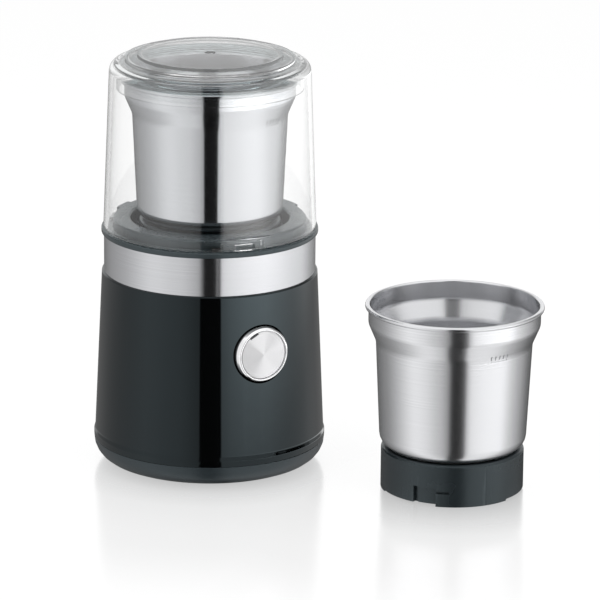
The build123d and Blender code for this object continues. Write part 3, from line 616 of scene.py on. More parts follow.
@dataclass(frozen=True)
class Layered(Finish):
    """Stacked sheets or wound wire: a regular ribbing along Z."""

    colour: Colour
    dark: Colour
    pitch: float
    depth: float
    roughness: float = 0.35
    spread: float = 0.08
    grain: float = 1200.0

    def cover(self, surface: Surface) -> None:
        """Cover a surface with slightly uneven ribs.

        Args:
            surface: The material's tree.
        """
        ribbing = {"Vector": surface.vector, "Scale": self.pitch, "Distortion": 0.6, "Detail Scale": 2.0}
        wave = surface.add("ShaderNodeTexWave", ribbing, bands_direction="Z", wave_profile="SIN")
        ribs = wave.outputs["Fac"]
        mottle = surface.effect(Effect.GRAIN, Scale=self.grain)["Mottle"]
        surface.dress(
            Base_Color=surface.mix(ribs, self.dark, self.colour),
            Roughness=surface.remap(mottle, self.roughness - self.spread, self.roughness + self.spread),
            Metallic=1.0,
        )
        surface.bump(ribs, self.depth)


BLACK_GLOSS = MouldedPlastic(
    "black_gloss", (0.0009, 0.001, 0.0011), (0.004, 0.0045, 0.005), 0.045, 0.02, 60.0, 0.00001,
    1.42, (0.8, 1.0, 1.08),
)
COOL_SHEEN = (0.85, 1.0, 1.06)
DARK_SATIN = MouldedPlastic(
    "dark_plastic", (0.014, 0.019, 0.022), (0.05, 0.06, 0.065), 0.3, 0.05, sheen=COOL_SHEEN
)
DECK_SATIN = MouldedPlastic(
    "deck_plastic", (0.026, 0.033, 0.036), (0.04, 0.047, 0.05), 0.23, 0.04, sheen=COOL_SHEEN
)
CUP_BASE = MouldedPlastic(
    "cup_base_plastic", (0.012, 0.016, 0.018), (0.05, 0.06, 0.065), 0.26, 0.05, sheen=COOL_SHEEN
)
SWITCH_BLACK = MouldedPlastic("switch_plastic", (0.012, 0.012, 0.012), (0.05, 0.05, 0.05), 0.5)
COUPLING_BLACK = MouldedPlastic("coupling_plastic", (0.018, 0.018, 0.02), (0.06, 0.06, 0.06), 0.46)
BRACKET_IVORY = MouldedPlastic("bracket_plastic", (0.62, 0.6, 0.54), (0.75, 0.73, 0.68), 0.5)
FAN_IVORY = MouldedPlastic("fan_plastic", (0.7, 0.69, 0.64), (0.8, 0.8, 0.76), 0.45)
LENS_DARK = MouldedPlastic("lens_plastic", (0.012, 0.013, 0.015), (0.05, 0.05, 0.055), 0.18, 0.04)
BOARD_GREEN = MouldedPlastic("board", (0.02, 0.14, 0.05), (0.1, 0.3, 0.15), 0.35)
CARBON = MouldedPlastic("carbon", (0.02, 0.02, 0.021), (0.08, 0.08, 0.08), 0.6)
BLACK_RUBBER = Rubber("rubber", (0.018, 0.018, 0.019), (0.035, 0.035, 0.036))
BAND_STEEL = TurnedMetal("band_steel", (0.64, 0.645, 0.665), (0.525, 0.53, 0.545), roughness=0.16)
CUP_STEEL = TurnedMetal("cup_steel", (0.7, 0.705, 0.725), (0.6, 0.605, 0.625), pitch=5500.0, roughness=0.12)
# Painted reflection: wedges of highlight and shade on the button's spun face, by share of a turn round its
# axis.
FACE_PAINTED_SHEEN = (
    (0.0, 0.8), (0.08, 0.78), (0.14, 0.84), (0.19, 0.93), (0.25, 0.97), (0.32, 1.0), (0.56, 1.0),
    (0.62, 0.97), (0.65, 0.93), (0.7, 0.93), (0.74, 0.98), (0.8, 0.97), (0.87, 0.95), (0.9, 0.84),
    (1.0, 0.8),
)
FACE_STEEL = TurnedMetal(
    "face_steel", (0.93, 0.93, 0.94), (0.84, 0.84, 0.85), (0.0, 0.0, 0.077), Turn.ROUND_Y,
    9000.0, 0.45, 0.04, 0.97, 0.000003, FACE_PAINTED_SHEEN,
)
BUSH_STEEL = PlainMetal("bush_steel", (0.72, 0.72, 0.73), (0.6, 0.6, 0.61), 0.2)
POLISHED = PlainMetal("polished_metal", (0.93, 0.93, 0.94), (0.86, 0.86, 0.87), 0.08)
BLADE_STEEL = PlainMetal("blade_steel", (0.66, 0.66, 0.66), (0.52, 0.52, 0.53), 0.24)
SCREW_STEEL = PlainMetal("screw_steel", (0.6, 0.6, 0.58), (0.42, 0.42, 0.4), 0.3)
SPRING_STEEL = PlainMetal("spring_steel", (0.55, 0.55, 0.55), (0.42, 0.42, 0.43), 0.28)
BEARING_STEEL = PlainMetal("bearing_steel", (0.64, 0.64, 0.64), (0.5, 0.5, 0.5), 0.2)
BRONZE = PlainMetal("bearing_bronze", (0.6, 0.42, 0.2), (0.42, 0.28, 0.12), 0.45)
COMMUTATOR = PlainMetal("commutator_copper", (0.78, 0.46, 0.26), (0.6, 0.32, 0.17), 0.3)
CLEAR = ClearPlastic("clear_plastic")
CLEAR_SILICONE = ClearPlastic("clear_silicone", (0.9, 0.92, 0.93), 0.06, 1.41, 260.0)
COPPER_WIRE = Layered("copper", (0.72, 0.34, 0.16), (0.3, 0.12, 0.05), 320.0, 0.0002)
LAMINATIONS = Layered("lamination", (0.36, 0.36, 0.37), (0.16, 0.16, 0.17), 500.0, 0.0001)

# ---------------------------------------------------------------- shaping


Outline = Sequence[tuple[float, ...]]


class Solid:
    """A closed mesh that can be joined to others and cut, and stays smooth where it was turned."""

    UV_NAME = "turned"
    NORMAL_NAME = "turned_normal"
    SMOOTH_ANGLE = math.radians(31.0)
    STEPS = 128
    CHORDS = 6
    ARC_STEP = 2.5
    ON_AXIS = 1e-7

    def __init__(self, bm: bmesh.types.BMesh) -> None:
        """Turn a finished bmesh into a mesh.

        Args:
            bm: The closed shape. It is freed.
        """
        bmesh.ops.remove_doubles(bm, verts=bm.verts[:], dist=self.ON_AXIS)
        bmesh.ops.recalc_face_normals(bm, faces=bm.faces[:])
        self.mesh = bpy.data.meshes.new("solid")
        bm.to_mesh(self.mesh)
        bm.free()

    @classmethod
    def turned(cls, outline: Outline, place: Matrix = Matrix(), steps: int = STEPS) -> "Solid":
        """Turn a closed outline a full turn about Z.

        Args:
            outline: Corners as (radius, level) or (radius, level, rounding radius).
            place: Where the turned piece goes.
            steps: How many steps the turn has.

        Returns:
            The turned solid, with UVs that run round it and along its outline.
        """
        bm = bmesh.new()
        corners = [bm.verts.new((corner[0], 0.0, corner[1])) for corner in outline]
        for first, second in zip(corners, corners[1:] + corners[:1]):
            if max(first.co.x, second.co.x) > cls.ON_AXIS:
                bm.edges.new((first, second))
        for corner, vert in zip(outline, corners):
            if len(corner) > 2:
                cls._round(bm, vert, corner[2])
        run = cls._measure(bm)
        cls.sweep(bm, math.tau, steps, closed=True)
        bmesh.ops.remove_doubles(bm, verts=bm.verts[:], dist=cls.ON_AXIS)
        bmesh.ops.recalc_face_normals(bm, faces=bm.faces[:])
        cls._unwrap(bm, run)
        bmesh.ops.transform(bm, matrix=place, verts=bm.verts[:])
        solid = cls(bm)
        solid._remember_normals()
        return solid

    @staticmethod
    def sweep(
        bm: bmesh.types.BMesh, angle: float, steps: int, rise: float = 0.0, closed: bool = False
    ) -> None:
        """Sweep all of an outline or a face about Z.

        Args:
            bm: The outline or face, which becomes the swept shape.
            angle: The sweep's angle in radians.
            steps: How many steps it has.
            rise: How far it rises on the way.
            closed: Whether its end meets its start.
        """
        bmesh.ops.spin(
            bm, geom=bm.verts[:] + bm.edges[:] + bm.faces[:], cent=(0.0, 0.0, 0.0), axis=UP,
            dvec=UP * (rise / steps), angle=angle, steps=steps, use_merge=closed,
            use_normal_flip=False, use_duplicate=False,
        )

    @classmethod
    def _round(cls, bm: bmesh.types.BMesh, vert: bmesh.types.BMVert, radius: float) -> None:
        """Round a corner of an outline to a true arc.

        Args:
            bm: The outline.
            vert: Its corner.
            radius: The arc's radius.
        """
        sides = [edge.other_vert(vert).co - vert.co for edge in vert.link_edges]
        setback = radius / math.tan(sides[0].angle(sides[1]) / 2)
        bmesh.ops.bevel(
            bm, geom=[vert], offset=setback, segments=cls.CHORDS, profile=0.5, affect="VERTICES", material=-1
        )

    @staticmethod
    def _measure(bm: bmesh.types.BMesh) -> bmesh.types.BMLayerItem:
        """Store the distance along the outline on each of its corners.

        Args:
            bm: The outline before it is turned.

        Returns:
            The layer with the distances.
        """
        run = bm.verts.layers.float.new("run")
        ends = [vert for vert in bm.verts if len(vert.link_edges) == 1]
        start = ends[0] if ends else bm.verts[:][0]
        vert, edge, travelled = start, None, 0.0
        while True:
            vert[run] = travelled
            onward = [link for link in vert.link_edges if link != edge]
            if not onward:
                return run
            edge = onward[0]
            travelled += edge.calc_length()
            vert = edge.other_vert(vert)
            if vert == start:
                return run

    @classmethod
    def _unwrap(cls, bm: bmesh.types.BMesh, run: bmesh.types.BMLayerItem) -> None:
        """Give a turned shape UVs: U is the share of a turn and V the distance along the outline.

        Args:
            bm: The turned shape.
            run: The layer with the distances.
        """
        layer = bm.loops.layers.uv.new(cls.UV_NAME)
        for face in bm.faces:
            middle = face.calc_center_median()
            facing = math.atan2(middle.y, middle.x)
            for loop in face.loops:
                corner = loop.vert.co
                swing = 0.0
                if math.hypot(corner.x, corner.y) > cls.ON_AXIS:
                    swing = math.remainder(math.atan2(corner.y, corner.x) - facing, math.tau)
                loop[layer].uv = ((facing + swing) / math.tau, loop.vert[run])

    @classmethod
    def arc(
        cls, inner: float, outer: float, low: float, high: float, start: float, arc: float, peak: float = 0.0
    ) -> "Solid":
        """Make part of a ring about Z.

        Args:
            inner: Inner radius.
            outer: Outer radius.
            low: Lower level.
            high: Upper level.
            start: First angle from +X, in degrees.
            arc: Angle that it spans, in degrees.
            peak: How far the middle of its outer side stands out.

        Returns:
            The part ring.
        """
        bm = bmesh.new()
        turn = Matrix.Rotation(math.radians(start), 4, "Z")
        crest = [(outer + peak, (low + high) / 2)] if peak else []
        outline = ((inner, low), (outer, low), *crest, (outer, high), (inner, high))
        bm.faces.new([bm.verts.new(turn @ Vector((radius, 0.0, level))) for radius, level in outline])
        cls.sweep(bm, math.radians(arc), max(2, round(arc / cls.ARC_STEP)))
        return cls(bm)

    @classmethod
    def rod(
        cls, radius: float, low: float, high: float, place: Matrix = Matrix(), segments: int = 48
    ) -> "Solid":
        """Make a cylinder along Z.

        Args:
            radius: Its radius.
            low: Level of its lower end.
            high: Level of its upper end.
            place: Where it goes.
            segments: How many sides it has.

        Returns:
            The cylinder.
        """
        bm = bmesh.new()
        middle = Matrix.Translation((0.0, 0.0, (low + high) / 2))
        bmesh.ops.create_cone(
            bm, cap_ends=True, segments=segments, radius1=radius, radius2=radius, depth=high - low,
            matrix=place @ middle,
        )
        return cls(bm)

    @classmethod
    def block(cls, size: Sequence[float], place: Matrix, edge: float = 0.0) -> "Solid":
        """Make a box.

        Args:
            size: Its full sizes along X, Y and Z.
            place: Where its centre goes and how it turns.
            edge: Radius of its edges.

        Returns:
            The box.
        """
        bm = bmesh.new()
        bmesh.ops.create_cube(bm, size=1.0)
        bmesh.ops.scale(bm, vec=size, verts=bm.verts[:])
        if edge:
            bmesh.ops.bevel(
                bm, geom=bm.edges[:], offset=edge, segments=3, profile=0.5, affect="EDGES", material=-1
            )
        bmesh.ops.transform(bm, matrix=place, verts=bm.verts[:])
        return cls(bm)

    def join(self, *others: "Solid", crossing: bool = False) -> "Solid":
        """Unite with other solids.

        Args:
            *others: The solids to add.
            crossing: Whether they also run into each other.

        Returns:
            The same solid, changed.
        """
        return self._combine("UNION", others, crossing)

    def cut(self, *others: "Solid") -> "Solid":
        """Take other solids away."""
        return self._combine("DIFFERENCE", others)

    def moved(self, place: Matrix) -> "Solid":
        """Move the solid to another place.

        Args:
            place: The move.

        Returns:
            The same solid, moved.
        """
        self.mesh.transform(place)
        stored = self.mesh.attributes.get(self.NORMAL_NAME)
        if stored:
            turn = place.to_3x3()
            for item in stored.data:
                item.vector = turn @ item.vector
        return self

    def _combine(self, operation: str, others: Sequence["Solid"], crossing: bool = False) -> "Solid":
        """Apply one exact Boolean with all the other solids at once.

        Args:
            operation: The Boolean's kind.
            others: The solids to apply, which are used up.
            crossing: Whether the other solids run into each other.

        Returns:
            The same solid, changed.
        """
        gathered = bmesh.new()
        for other in others:
            gathered.from_mesh(other.mesh)
            bpy.data.meshes.remove(other.mesh)
        tool_mesh = bpy.data.meshes.new("tool")
        gathered.to_mesh(tool_mesh)
        gathered.free()
        scene = bpy.context.scene.collection.objects
        tool = bpy.data.objects.new("tool", tool_mesh)
        work = bpy.data.objects.new("work", self.mesh)
        scene.link(tool)
        scene.link(work)
        modifier = work.modifiers.new("combine", "BOOLEAN")
        modifier.solver = "EXACT"
        modifier.use_self = crossing
        modifier.operation = operation
        modifier.object = tool
        seen = work.evaluated_get(bpy.context.evaluated_depsgraph_get())
        changed = bpy.data.meshes.new_from_object(seen)
        for used in (tool, work):
            bpy.data.objects.remove(used)
        for mesh in (tool_mesh, self.mesh):
            bpy.data.meshes.remove(mesh)
        self.mesh = changed
        return self

    def _remember_normals(self) -> None:
        """Keep the turned surface's smooth normals, led by its larger faces, through later cuts."""
        around: list[list[tuple[Vector, float]]] = [[] for _ in self.mesh.vertices]
        for face in self.mesh.polygons:
            for corner in face.vertices:
                around[corner].append((face.normal.copy(), face.area))
        limit = math.cos(self.SMOOTH_ANGLE)
        smooth: list[float] = []
        for face in self.mesh.polygons:
            facing = face.normal
            for corner in face.vertices:
                total = Vector()
                for normal, area in around[corner]:
                    if normal.dot(facing) > limit:
                        total += normal * area
                smooth.extend(total.normalized())
        stored = self.mesh.attributes.new(self.NORMAL_NAME, "FLOAT_VECTOR", "CORNER")
        stored.data.foreach_set("vector", smooth)

    def finished(self, name: str) -> bpy.types.Mesh:
        """Shade the mesh and take off its working data.

        Args:
            name: The mesh's name.

        Returns:
            The mesh, ready for an object.
        """
        self.mesh.name = name
        self.mesh.shade_smooth()
        self.mesh.set_sharp_from_angle(angle=self.SMOOTH_ANGLE)
        stored = self.mesh.attributes.get(self.NORMAL_NAME)
        if stored:
            kept = [item.vector.copy() for item in stored.data]
            self.mesh.attributes.remove(stored)
            kept = [normal if normal.length > 0.5 else Vector() for normal in kept]
            self.mesh.normals_split_custom_set(kept)
        run = self.mesh.attributes.get("run")
        if run:
            self.mesh.attributes.remove(run)
        return self.mesh


class Assembly:
    """Base of the sub-assemblies: dresses solids and kept CAD nodes, and puts them on their bodies."""

    slots = {part["node"]: part["material_slot"] for part in frame["record"]["subparts"]}
    members = frame["record"]["behaviour"]["bodies"]
    painted: dict[str, bpy.types.Material] = {}

    def paint(self, finish: Finish) -> bpy.types.Material:
        """Give a finish's material, building it the first time.

        Args:
            finish: The finish that is wanted.

        Returns:
            Its material.
        """
        if finish.name not in self.painted:
            self.painted[finish.name] = finish.make()
        return self.painted[finish.name]

    def piece(self, name: str, solid: Solid, finish: Finish, *nodes: str) -> bpy.types.Object:
        """Show a solid in place of CAD nodes, on the first one's body.

        Args:
            name: The piece's name.
            solid: Its shape.
            finish: Its finish.
            *nodes: The CAD nodes it stands for.

        Returns:
            The piece.
        """
        mesh = solid.finished(name)
        mesh.materials.clear()
        mesh.materials.append(self.paint(finish))
        shown = bpy.data.objects.new(name, mesh)
        bpy.context.scene.collection.objects.link(shown)
        body = next(body for body, inside in self.members.items() if nodes[0] in inside)
        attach(shown, body)
        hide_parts(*nodes)
        LOG.info("%s: %d faces on %s", name, len(mesh.polygons), body)
        return shown

    def keep(self, finishes: dict[str, Finish]) -> None:
        """Keep CAD nodes as they are, with finer finishes in their slots.

        Args:
            finishes: The finish of each node that is kept.
        """
        for node, finish in finishes.items():
            place = frame["nodes"][node].material_slots[0]
            place.link = "OBJECT"
            place.material = self.paint(finish)
            LOG.info("%s: kept with %s", node, finish.name)


def about_z(angle: float, distance: float = 0.0) -> Matrix:
    """Turn about Z by degrees, after a step outwards along X."""
    return Matrix.Rotation(math.radians(angle), 4, "Z") @ Matrix.Translation((distance, 0.0, 0.0))


def round_y(direction: int, level: float) -> Matrix:
    """Stand a piece turned about Z on the line along +Y or -Y at a level."""
    return Matrix.Translation((0.0, 0.0, level)) @ Matrix.Rotation(-direction * math.pi / 2, 4, "X")


def thirds(first: float) -> list[float]:
    """Three angles a third of a turn apart, in degrees."""
    return [first, first + 120.0, first + 240.0]


# ---------------------------------------------------------------- motor base


@dataclass
class MotorBase(Assembly):
    """The housing: pan, gloss shell, steel band, top housing and cord grommet.

    In every outline the third number of a corner is the radius that rounds it.
    """

    clearance: float = 0.0002
    overlap: float = 0.0008
    past: float = 0.001
    pan_radius: float = 0.0652
    pan_foot: float = 0.0015
    pan_wall: float = 0.0022
    pan_corner: float = 0.012
    spigot_height: float = 0.005
    spigot_wall: float = 0.002
    vents: int = 12
    vent_size: Triple = (0.014, 0.0026, 0.006)
    vent_place: float = 0.028
    recess_radius: float = 0.0034
    recess_depth: float = 0.005
    pan_pilot: Triple = (0.002, 0.021, 0.0018)
    seam: float = 0.014
    shell_foot: float = 0.0649
    shell_top: float = 0.0606
    shell_end: float = 0.111
    shell_wall: float = 0.0024
    lip: float = 0.0004
    lip_height: float = 0.0034
    taper_start: float = 0.0055
    hole_reach: Pair = (0.05, 0.07)
    button_level: float = 0.077
    button_hole: float = 0.0167
    inlet_level: float = 0.03
    inlet_hole: float = 0.0055
    band_radius: float = 0.0594
    band_end: float = 0.133
    band_sheet: float = 0.0008
    collar_radius: float = 0.0608
    collar_end: float = 0.136
    deck_radius: float = 0.0544
    deck_end: float = 0.142
    mouth_radius: float = 0.0443
    socket_radius: float = 0.0403
    socket_floor: float = 0.117
    housing_wall: float = 0.0022
    skirt_wall: float = 0.0016
    skirt_depth: float = 0.008
    mouth_depth: float = 0.009
    floor_wall: float = 0.0026
    spout: float = 0.0085
    spout_wall: float = 0.0025
    spout_height: float = 0.004
    socket_lug: Quad = (0.0386, 0.0408, 0.1248, 0.1257)
    socket_lug_angles: Pair = (86.0, 8.0)
    lid_lug: Quad = (0.054, 0.0566, 0.1395, 0.1415)
    lid_lug_arc: float = 14.0
    mount_radius: float = 0.005
    mount_place: float = 0.0374
    mount_foot: float = 0.11
    post_place: float = 0.0485
    post_radius: float = 0.0044
    post_joint: float = 0.02
    housing_pilot: Triple = (0.019, 0.0335, 0.0017)
    locked_angle: float = 246.0
    pin_slot: Triple = (0.0017, 0.0052, 0.006)
    pin_place: float = 0.05535
    parting_angles: Pair = (266.4, 277.8)
    parting_size: Triple = (0.0004, 0.00028, 0.01)
    grommet_bore: float = 0.0036
    grommet_radius: float = 0.0054
    grommet_flange: Pair = (0.0075, 0.0018)
    grommet_depth: float = 0.005

    def shell_radius(self, level: float) -> float:
        """Outer radius of the shell's taper at a level."""
        share = (level - self.seam) / (self.shell_end - self.seam)
        return self.shell_foot + (self.shell_top - self.shell_foot) * share

    def posts(self, low: float, high: float, radius: float) -> list[Solid]:
        """Rods at the four screw posts."""
        places = [about_z(angle, self.post_place) for angle in (45.0, 135.0, 225.0, 315.0)]
        return [Solid.rod(radius, low, high, place) for place in places]

    def pan(self) -> Solid:
        """Shape the pan with its rounded foot, cooling slots and screw recesses.

        Returns:
            The pan.
        """
        spigot_foot = self.shell_radius(self.seam) - self.shell_wall - self.clearance
        spigot_end = self.seam + self.spigot_height
        spigot_top = self.shell_radius(spigot_end) - self.shell_wall - self.clearance
        bore = spigot_top - self.spigot_wall
        floor = self.pan_foot + self.pan_wall
        body = Solid.turned((
            (0.0, self.pan_foot),
            (self.pan_radius, self.pan_foot, self.pan_corner),
            (self.pan_radius, self.seam, 0.0004),
            (spigot_foot, self.seam),
            (spigot_top, spigot_end, 0.0005),
            (bore, spigot_end, 0.0005),
            (bore, floor, self.pan_corner - self.pan_wall),
            (0.0, floor),
        ))
        body.join(*self.posts(floor - self.overlap, self.post_joint, self.post_radius))
        foot = Matrix.Translation((0.0, 0.0, self.pan_foot))
        slots = [
            Solid.block(self.vent_size, about_z(360.0 / self.vents * turn, self.vent_place) @ foot)
            for turn in range(self.vents)
        ]
        recesses = self.posts(-self.past, self.pan_foot + self.recess_depth, self.recess_radius)
        return body.cut(*slots, *recesses, *self.posts(*self.pan_pilot))

    def shell(self) -> Solid:
        """Shape the tapered shell with its foot lip, push button's hole and cord inlet.

        Returns:
            The shell.
        """
        lip_radius = self.shell_foot + self.lip
        taper_foot = self.seam + self.taper_start
        body = Solid.turned((
            (lip_radius, self.seam, 0.0005),
            (lip_radius, self.seam + self.lip_height, 0.0012),
            (self.shell_radius(taper_foot), taper_foot, 0.004),
            (self.shell_radius(self.shell_end), self.shell_end, 0.0009),
            (self.shell_top - self.shell_wall, self.shell_end),
            (self.shell_foot - self.shell_wall, self.seam),
        ), steps=192)
        button_hole = Solid.rod(self.button_hole, *self.hole_reach, round_y(-1, self.button_level), 96)
        inlet_hole = Solid.rod(self.inlet_hole, *self.hole_reach, round_y(1, self.inlet_level))
        return body.cut(button_hole, inlet_hole)

    def band(self) -> Solid:
        """Shape the thin steel band.

        Returns:
            The band.
        """
        inner = self.band_radius - self.band_sheet
        return Solid.turned((
            (inner, self.shell_end),
            (self.band_radius, self.shell_end, 0.00015),
            (self.band_radius, self.band_end, 0.00015),
            (inner, self.band_end),
        ), steps=192)

    def housing(self) -> Solid:
        """Shape the collar, deck, mouth and socket well, with the lugs, posts and pin slot.

        Returns:
            The top housing.
        """
        wall = self.housing_wall
        skirt = self.shell_top - self.shell_wall - self.clearance
        skirt_inner = skirt - self.skirt_wall
        skirt_foot = self.shell_end - self.skirt_depth
        under_collar = self.collar_end - wall
        under_deck = self.deck_end - wall
        ledge = self.deck_end - self.mouth_depth
        under_floor = self.socket_floor - self.floor_wall
        spout_end = self.socket_floor + self.spout_height
        spout_bore = self.spout - self.spout_wall
        body = Solid.turned((
            (skirt_inner, skirt_foot),
            (skirt, skirt_foot, 0.0004),
            (skirt, self.band_end),
            (self.collar_radius, self.band_end, 0.0006),
            (self.collar_radius, self.collar_end, 0.0009),
            (self.deck_radius, self.collar_end, 0.0008),
            (self.deck_radius, self.deck_end, 0.0014),
            (self.mouth_radius, self.deck_end, 0.0018),
            (self.mouth_radius, ledge, 0.0006),
            (self.socket_radius, ledge, 0.0006),
            (self.socket_radius, self.socket_floor, 0.001),
            (self.spout, self.socket_floor, 0.0008),
            (self.spout, spout_end, 0.0005),
            (spout_bore, spout_end),
            (spout_bore, under_floor),
            (self.socket_radius + wall, under_floor),
            (self.socket_radius + wall, ledge - wall),
            (self.mouth_radius + wall, ledge - wall),
            (self.mouth_radius + wall, under_deck),
            (self.deck_radius - wall, under_deck),
            (self.deck_radius - wall, under_collar),
            (skirt_inner, under_collar),
        ), steps=192)
        first, arc = self.socket_lug_angles
        socket_lugs = [Solid.arc(*self.socket_lug, start, arc) for start in thirds(first)]
        first = self.locked_angle - self.lid_lug_arc / 2
        lid_lugs = [Solid.arc(*self.lid_lug, start, self.lid_lug_arc) for start in thirds(first)]
        mount_end = under_floor + self.overlap
        mounts = [
            Solid.rod(self.mount_radius, self.mount_foot, mount_end, about_z(90.0 * turn, self.mount_place))
            for turn in range(4)
        ]
        posts = self.posts(self.post_joint, under_deck + self.overlap, self.post_radius)
        body.join(*socket_lugs, *lid_lugs, *mounts, *posts)
        collar = Matrix.Translation((0.0, 0.0, self.collar_end))
        over_pin = about_z(self.locked_angle, self.pin_place) @ collar
        joint = Matrix.Translation((0.0, 0.0, self.band_end))
        parting = [
            Solid.block(self.parting_size, about_z(angle, self.collar_radius) @ joint)
            for angle in self.parting_angles
        ]
        return body.cut(Solid.block(self.pin_slot, over_pin), *parting, *self.posts(*self.housing_pilot))

    def grommet(self) -> Solid:
        """Shape the rubber grommet in the cord inlet.

        Returns:
            The grommet.
        """
        flange_radius, thickness = self.grommet_flange
        seat = self.shell_radius(self.inlet_level - flange_radius) + self.clearance / 2
        front = seat + thickness
        barrel_end = self.shell_radius(self.inlet_level) - self.grommet_depth
        return Solid.turned((
            (self.grommet_bore, barrel_end),
            (self.grommet_radius, barrel_end, 0.0006),
            (self.grommet_radius, seat),
            (flange_radius, seat),
            (flange_radius, front, 0.0009),
            (self.grommet_bore, front, 0.0006),
        ), round_y(1, self.inlet_level), 64)

    def build(self) -> None:
        """Show every piece of the base."""
        self.piece("pan", self.pan(), DARK_SATIN, "base_pan")
        self.piece("shell", self.shell(), BLACK_GLOSS, "body_shell")
        self.piece("band", self.band(), BAND_STEEL, "steel_band")
        self.piece("housing", self.housing(), DECK_SATIN, "top_housing")
        self.piece("grommet", self.grommet(), BLACK_RUBBER, "cord_grommet")
        self.keep({
            "foot_ring": BLACK_RUBBER,
            "pan_screws": SCREW_STEEL,
            "shaft_seal": BLACK_RUBBER,
            "interlock_pin": SWITCH_BLACK,
            "interlock_switch": SWITCH_BLACK,
        })


@dataclass
class PushButton(Assembly):
    """The push button: polished rim, spun face, window strip and what lies behind."""

    level: float = 0.077
    front: float = 0.0646
    radius: float = 0.016
    rim_width: float = 0.0021
    rim_depth: float = 0.004
    rim_profile: tuple[Triple, ...] = (
        (0.0, 0.0028, 0.003), (0.0007, 0.0009, 0.001), (0.0014, 0.0, 0.0006)
    )
    fit: float = 0.0001
    sink: float = 0.0006
    crown: float = 0.0005
    groove: float = 0.0005
    groove_depth: float = 0.0009
    wire_radius: float = 0.00035
    spring_turns: int = 3
    travel: float = 0.002
    thickness: float = 0.0016
    slot_size: Triple = (0.0016, 0.004, 0.0058)
    slot_place: float = 0.0129
    slot_angle: float = -117.0

    def rim(self) -> Solid:
        """Shape the rounded rim, whose profile is (inset, setback, rounding) from side to front.

        Returns:
            The rim.
        """
        inner = self.radius - self.rim_width
        back = self.front - self.rim_depth
        side = [
            (self.radius - inset, self.front - setback, bend) for inset, setback, bend in self.rim_profile
        ]
        return Solid.turned((
            (inner, back),
            (self.radius, back, 0.0002),
            *side,
            (inner, self.front, 0.0003),
        ), round_y(-1, self.level))

    def face(self) -> Solid:
        """Shape the face with the slot for its window strip.

        Returns:
            The face.
        """
        edge = self.radius - self.rim_width - self.fit
        front = self.front - self.sink
        disc = Solid.turned((
            (0.0, front - self.thickness),
            (edge, front - self.thickness),
            (edge, front - self.groove_depth),
            (edge - self.groove, front - self.groove_depth),
            (edge - self.groove, front, 0.0002),
            (edge * 0.5, front + self.crown / 2),
            (0.0, front + self.crown),
        ), round_y(-1, self.level))
        turn = Matrix.Rotation(math.radians(self.slot_angle), 4, "Y")
        aside = Matrix.Translation((self.slot_place, 0.0, 0.0))
        slot = Solid.block(self.slot_size, Matrix.Translation((0.0, -front, self.level)) @ turn @ aside)
        return disc.cut(slot)

    def spring(self) -> Solid:
        """Coil the return spring of round wire between the guide's floor and the button.

        Returns:
            The spring.
        """
        low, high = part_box("button_spring")
        reach = (high.x - low.x) / 2 - self.wire_radius
        length = high.y - low.y - 2 * self.wire_radius
        bm = bmesh.new()
        start = Matrix.Translation((reach, 0.0, self.wire_radius - high.y))
        start = start @ Matrix.Rotation(math.pi / 2, 4, "X")
        bmesh.ops.create_circle(bm, cap_ends=True, segments=12, radius=self.wire_radius, matrix=start)
        Solid.sweep(bm, math.tau * self.spring_turns, self.spring_turns * 40, length)
        return Solid(bm).moved(round_y(-1, self.level))

    def build(self) -> None:
        """Show every piece of the button, and its return spring with a mesh of its own."""
        self.piece("rim", self.rim(), POLISHED, "button_rim")
        self.piece("face", self.face(), FACE_STEEL, "button_face")
        self.keep({
            "button_lens": LENS_DARK,
            "button_body": SWITCH_BLACK,
            "button_guide": SWITCH_BLACK,
            "start_plunger": BRACKET_IVORY,
            "start_switch": SWITCH_BLACK,
            "control_board": BOARD_GREEN,
        })
        coil = self.piece("spring", self.spring(), SPRING_STEEL, "button_spring")
        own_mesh(coil)


@dataclass
class MotorInside(Assembly):
    """The motor, whose CAD shapes stay and get their finishes."""

    def build(self) -> None:
        """Show every piece of the motor."""
        self.keep({
            "stator_core": LAMINATIONS,
            "field_coils": COPPER_WIRE,
            "armature_core": LAMINATIONS,
            "armature_winding": COPPER_WIRE,
            "motor_shaft": SCREW_STEEL,
            "commutator": COMMUTATOR,
            "cooling_fan": FAN_IVORY,
            "drive_coupling": COUPLING_BLACK,
            "lower_bearing": BRONZE,
            "upper_bearing": BEARING_STEEL,
            "lower_bracket": BRACKET_IVORY,
            "upper_bracket": BRACKET_IVORY,
            "tie_screws": SCREW_STEEL,
            "motor_grommets": BLACK_RUBBER,
            "motor_screws": SCREW_STEEL,
            "brush_holders": BRACKET_IVORY,
            "carbon_brushes": CARBON,
        })


# ---------------------------------------------------------------- lid


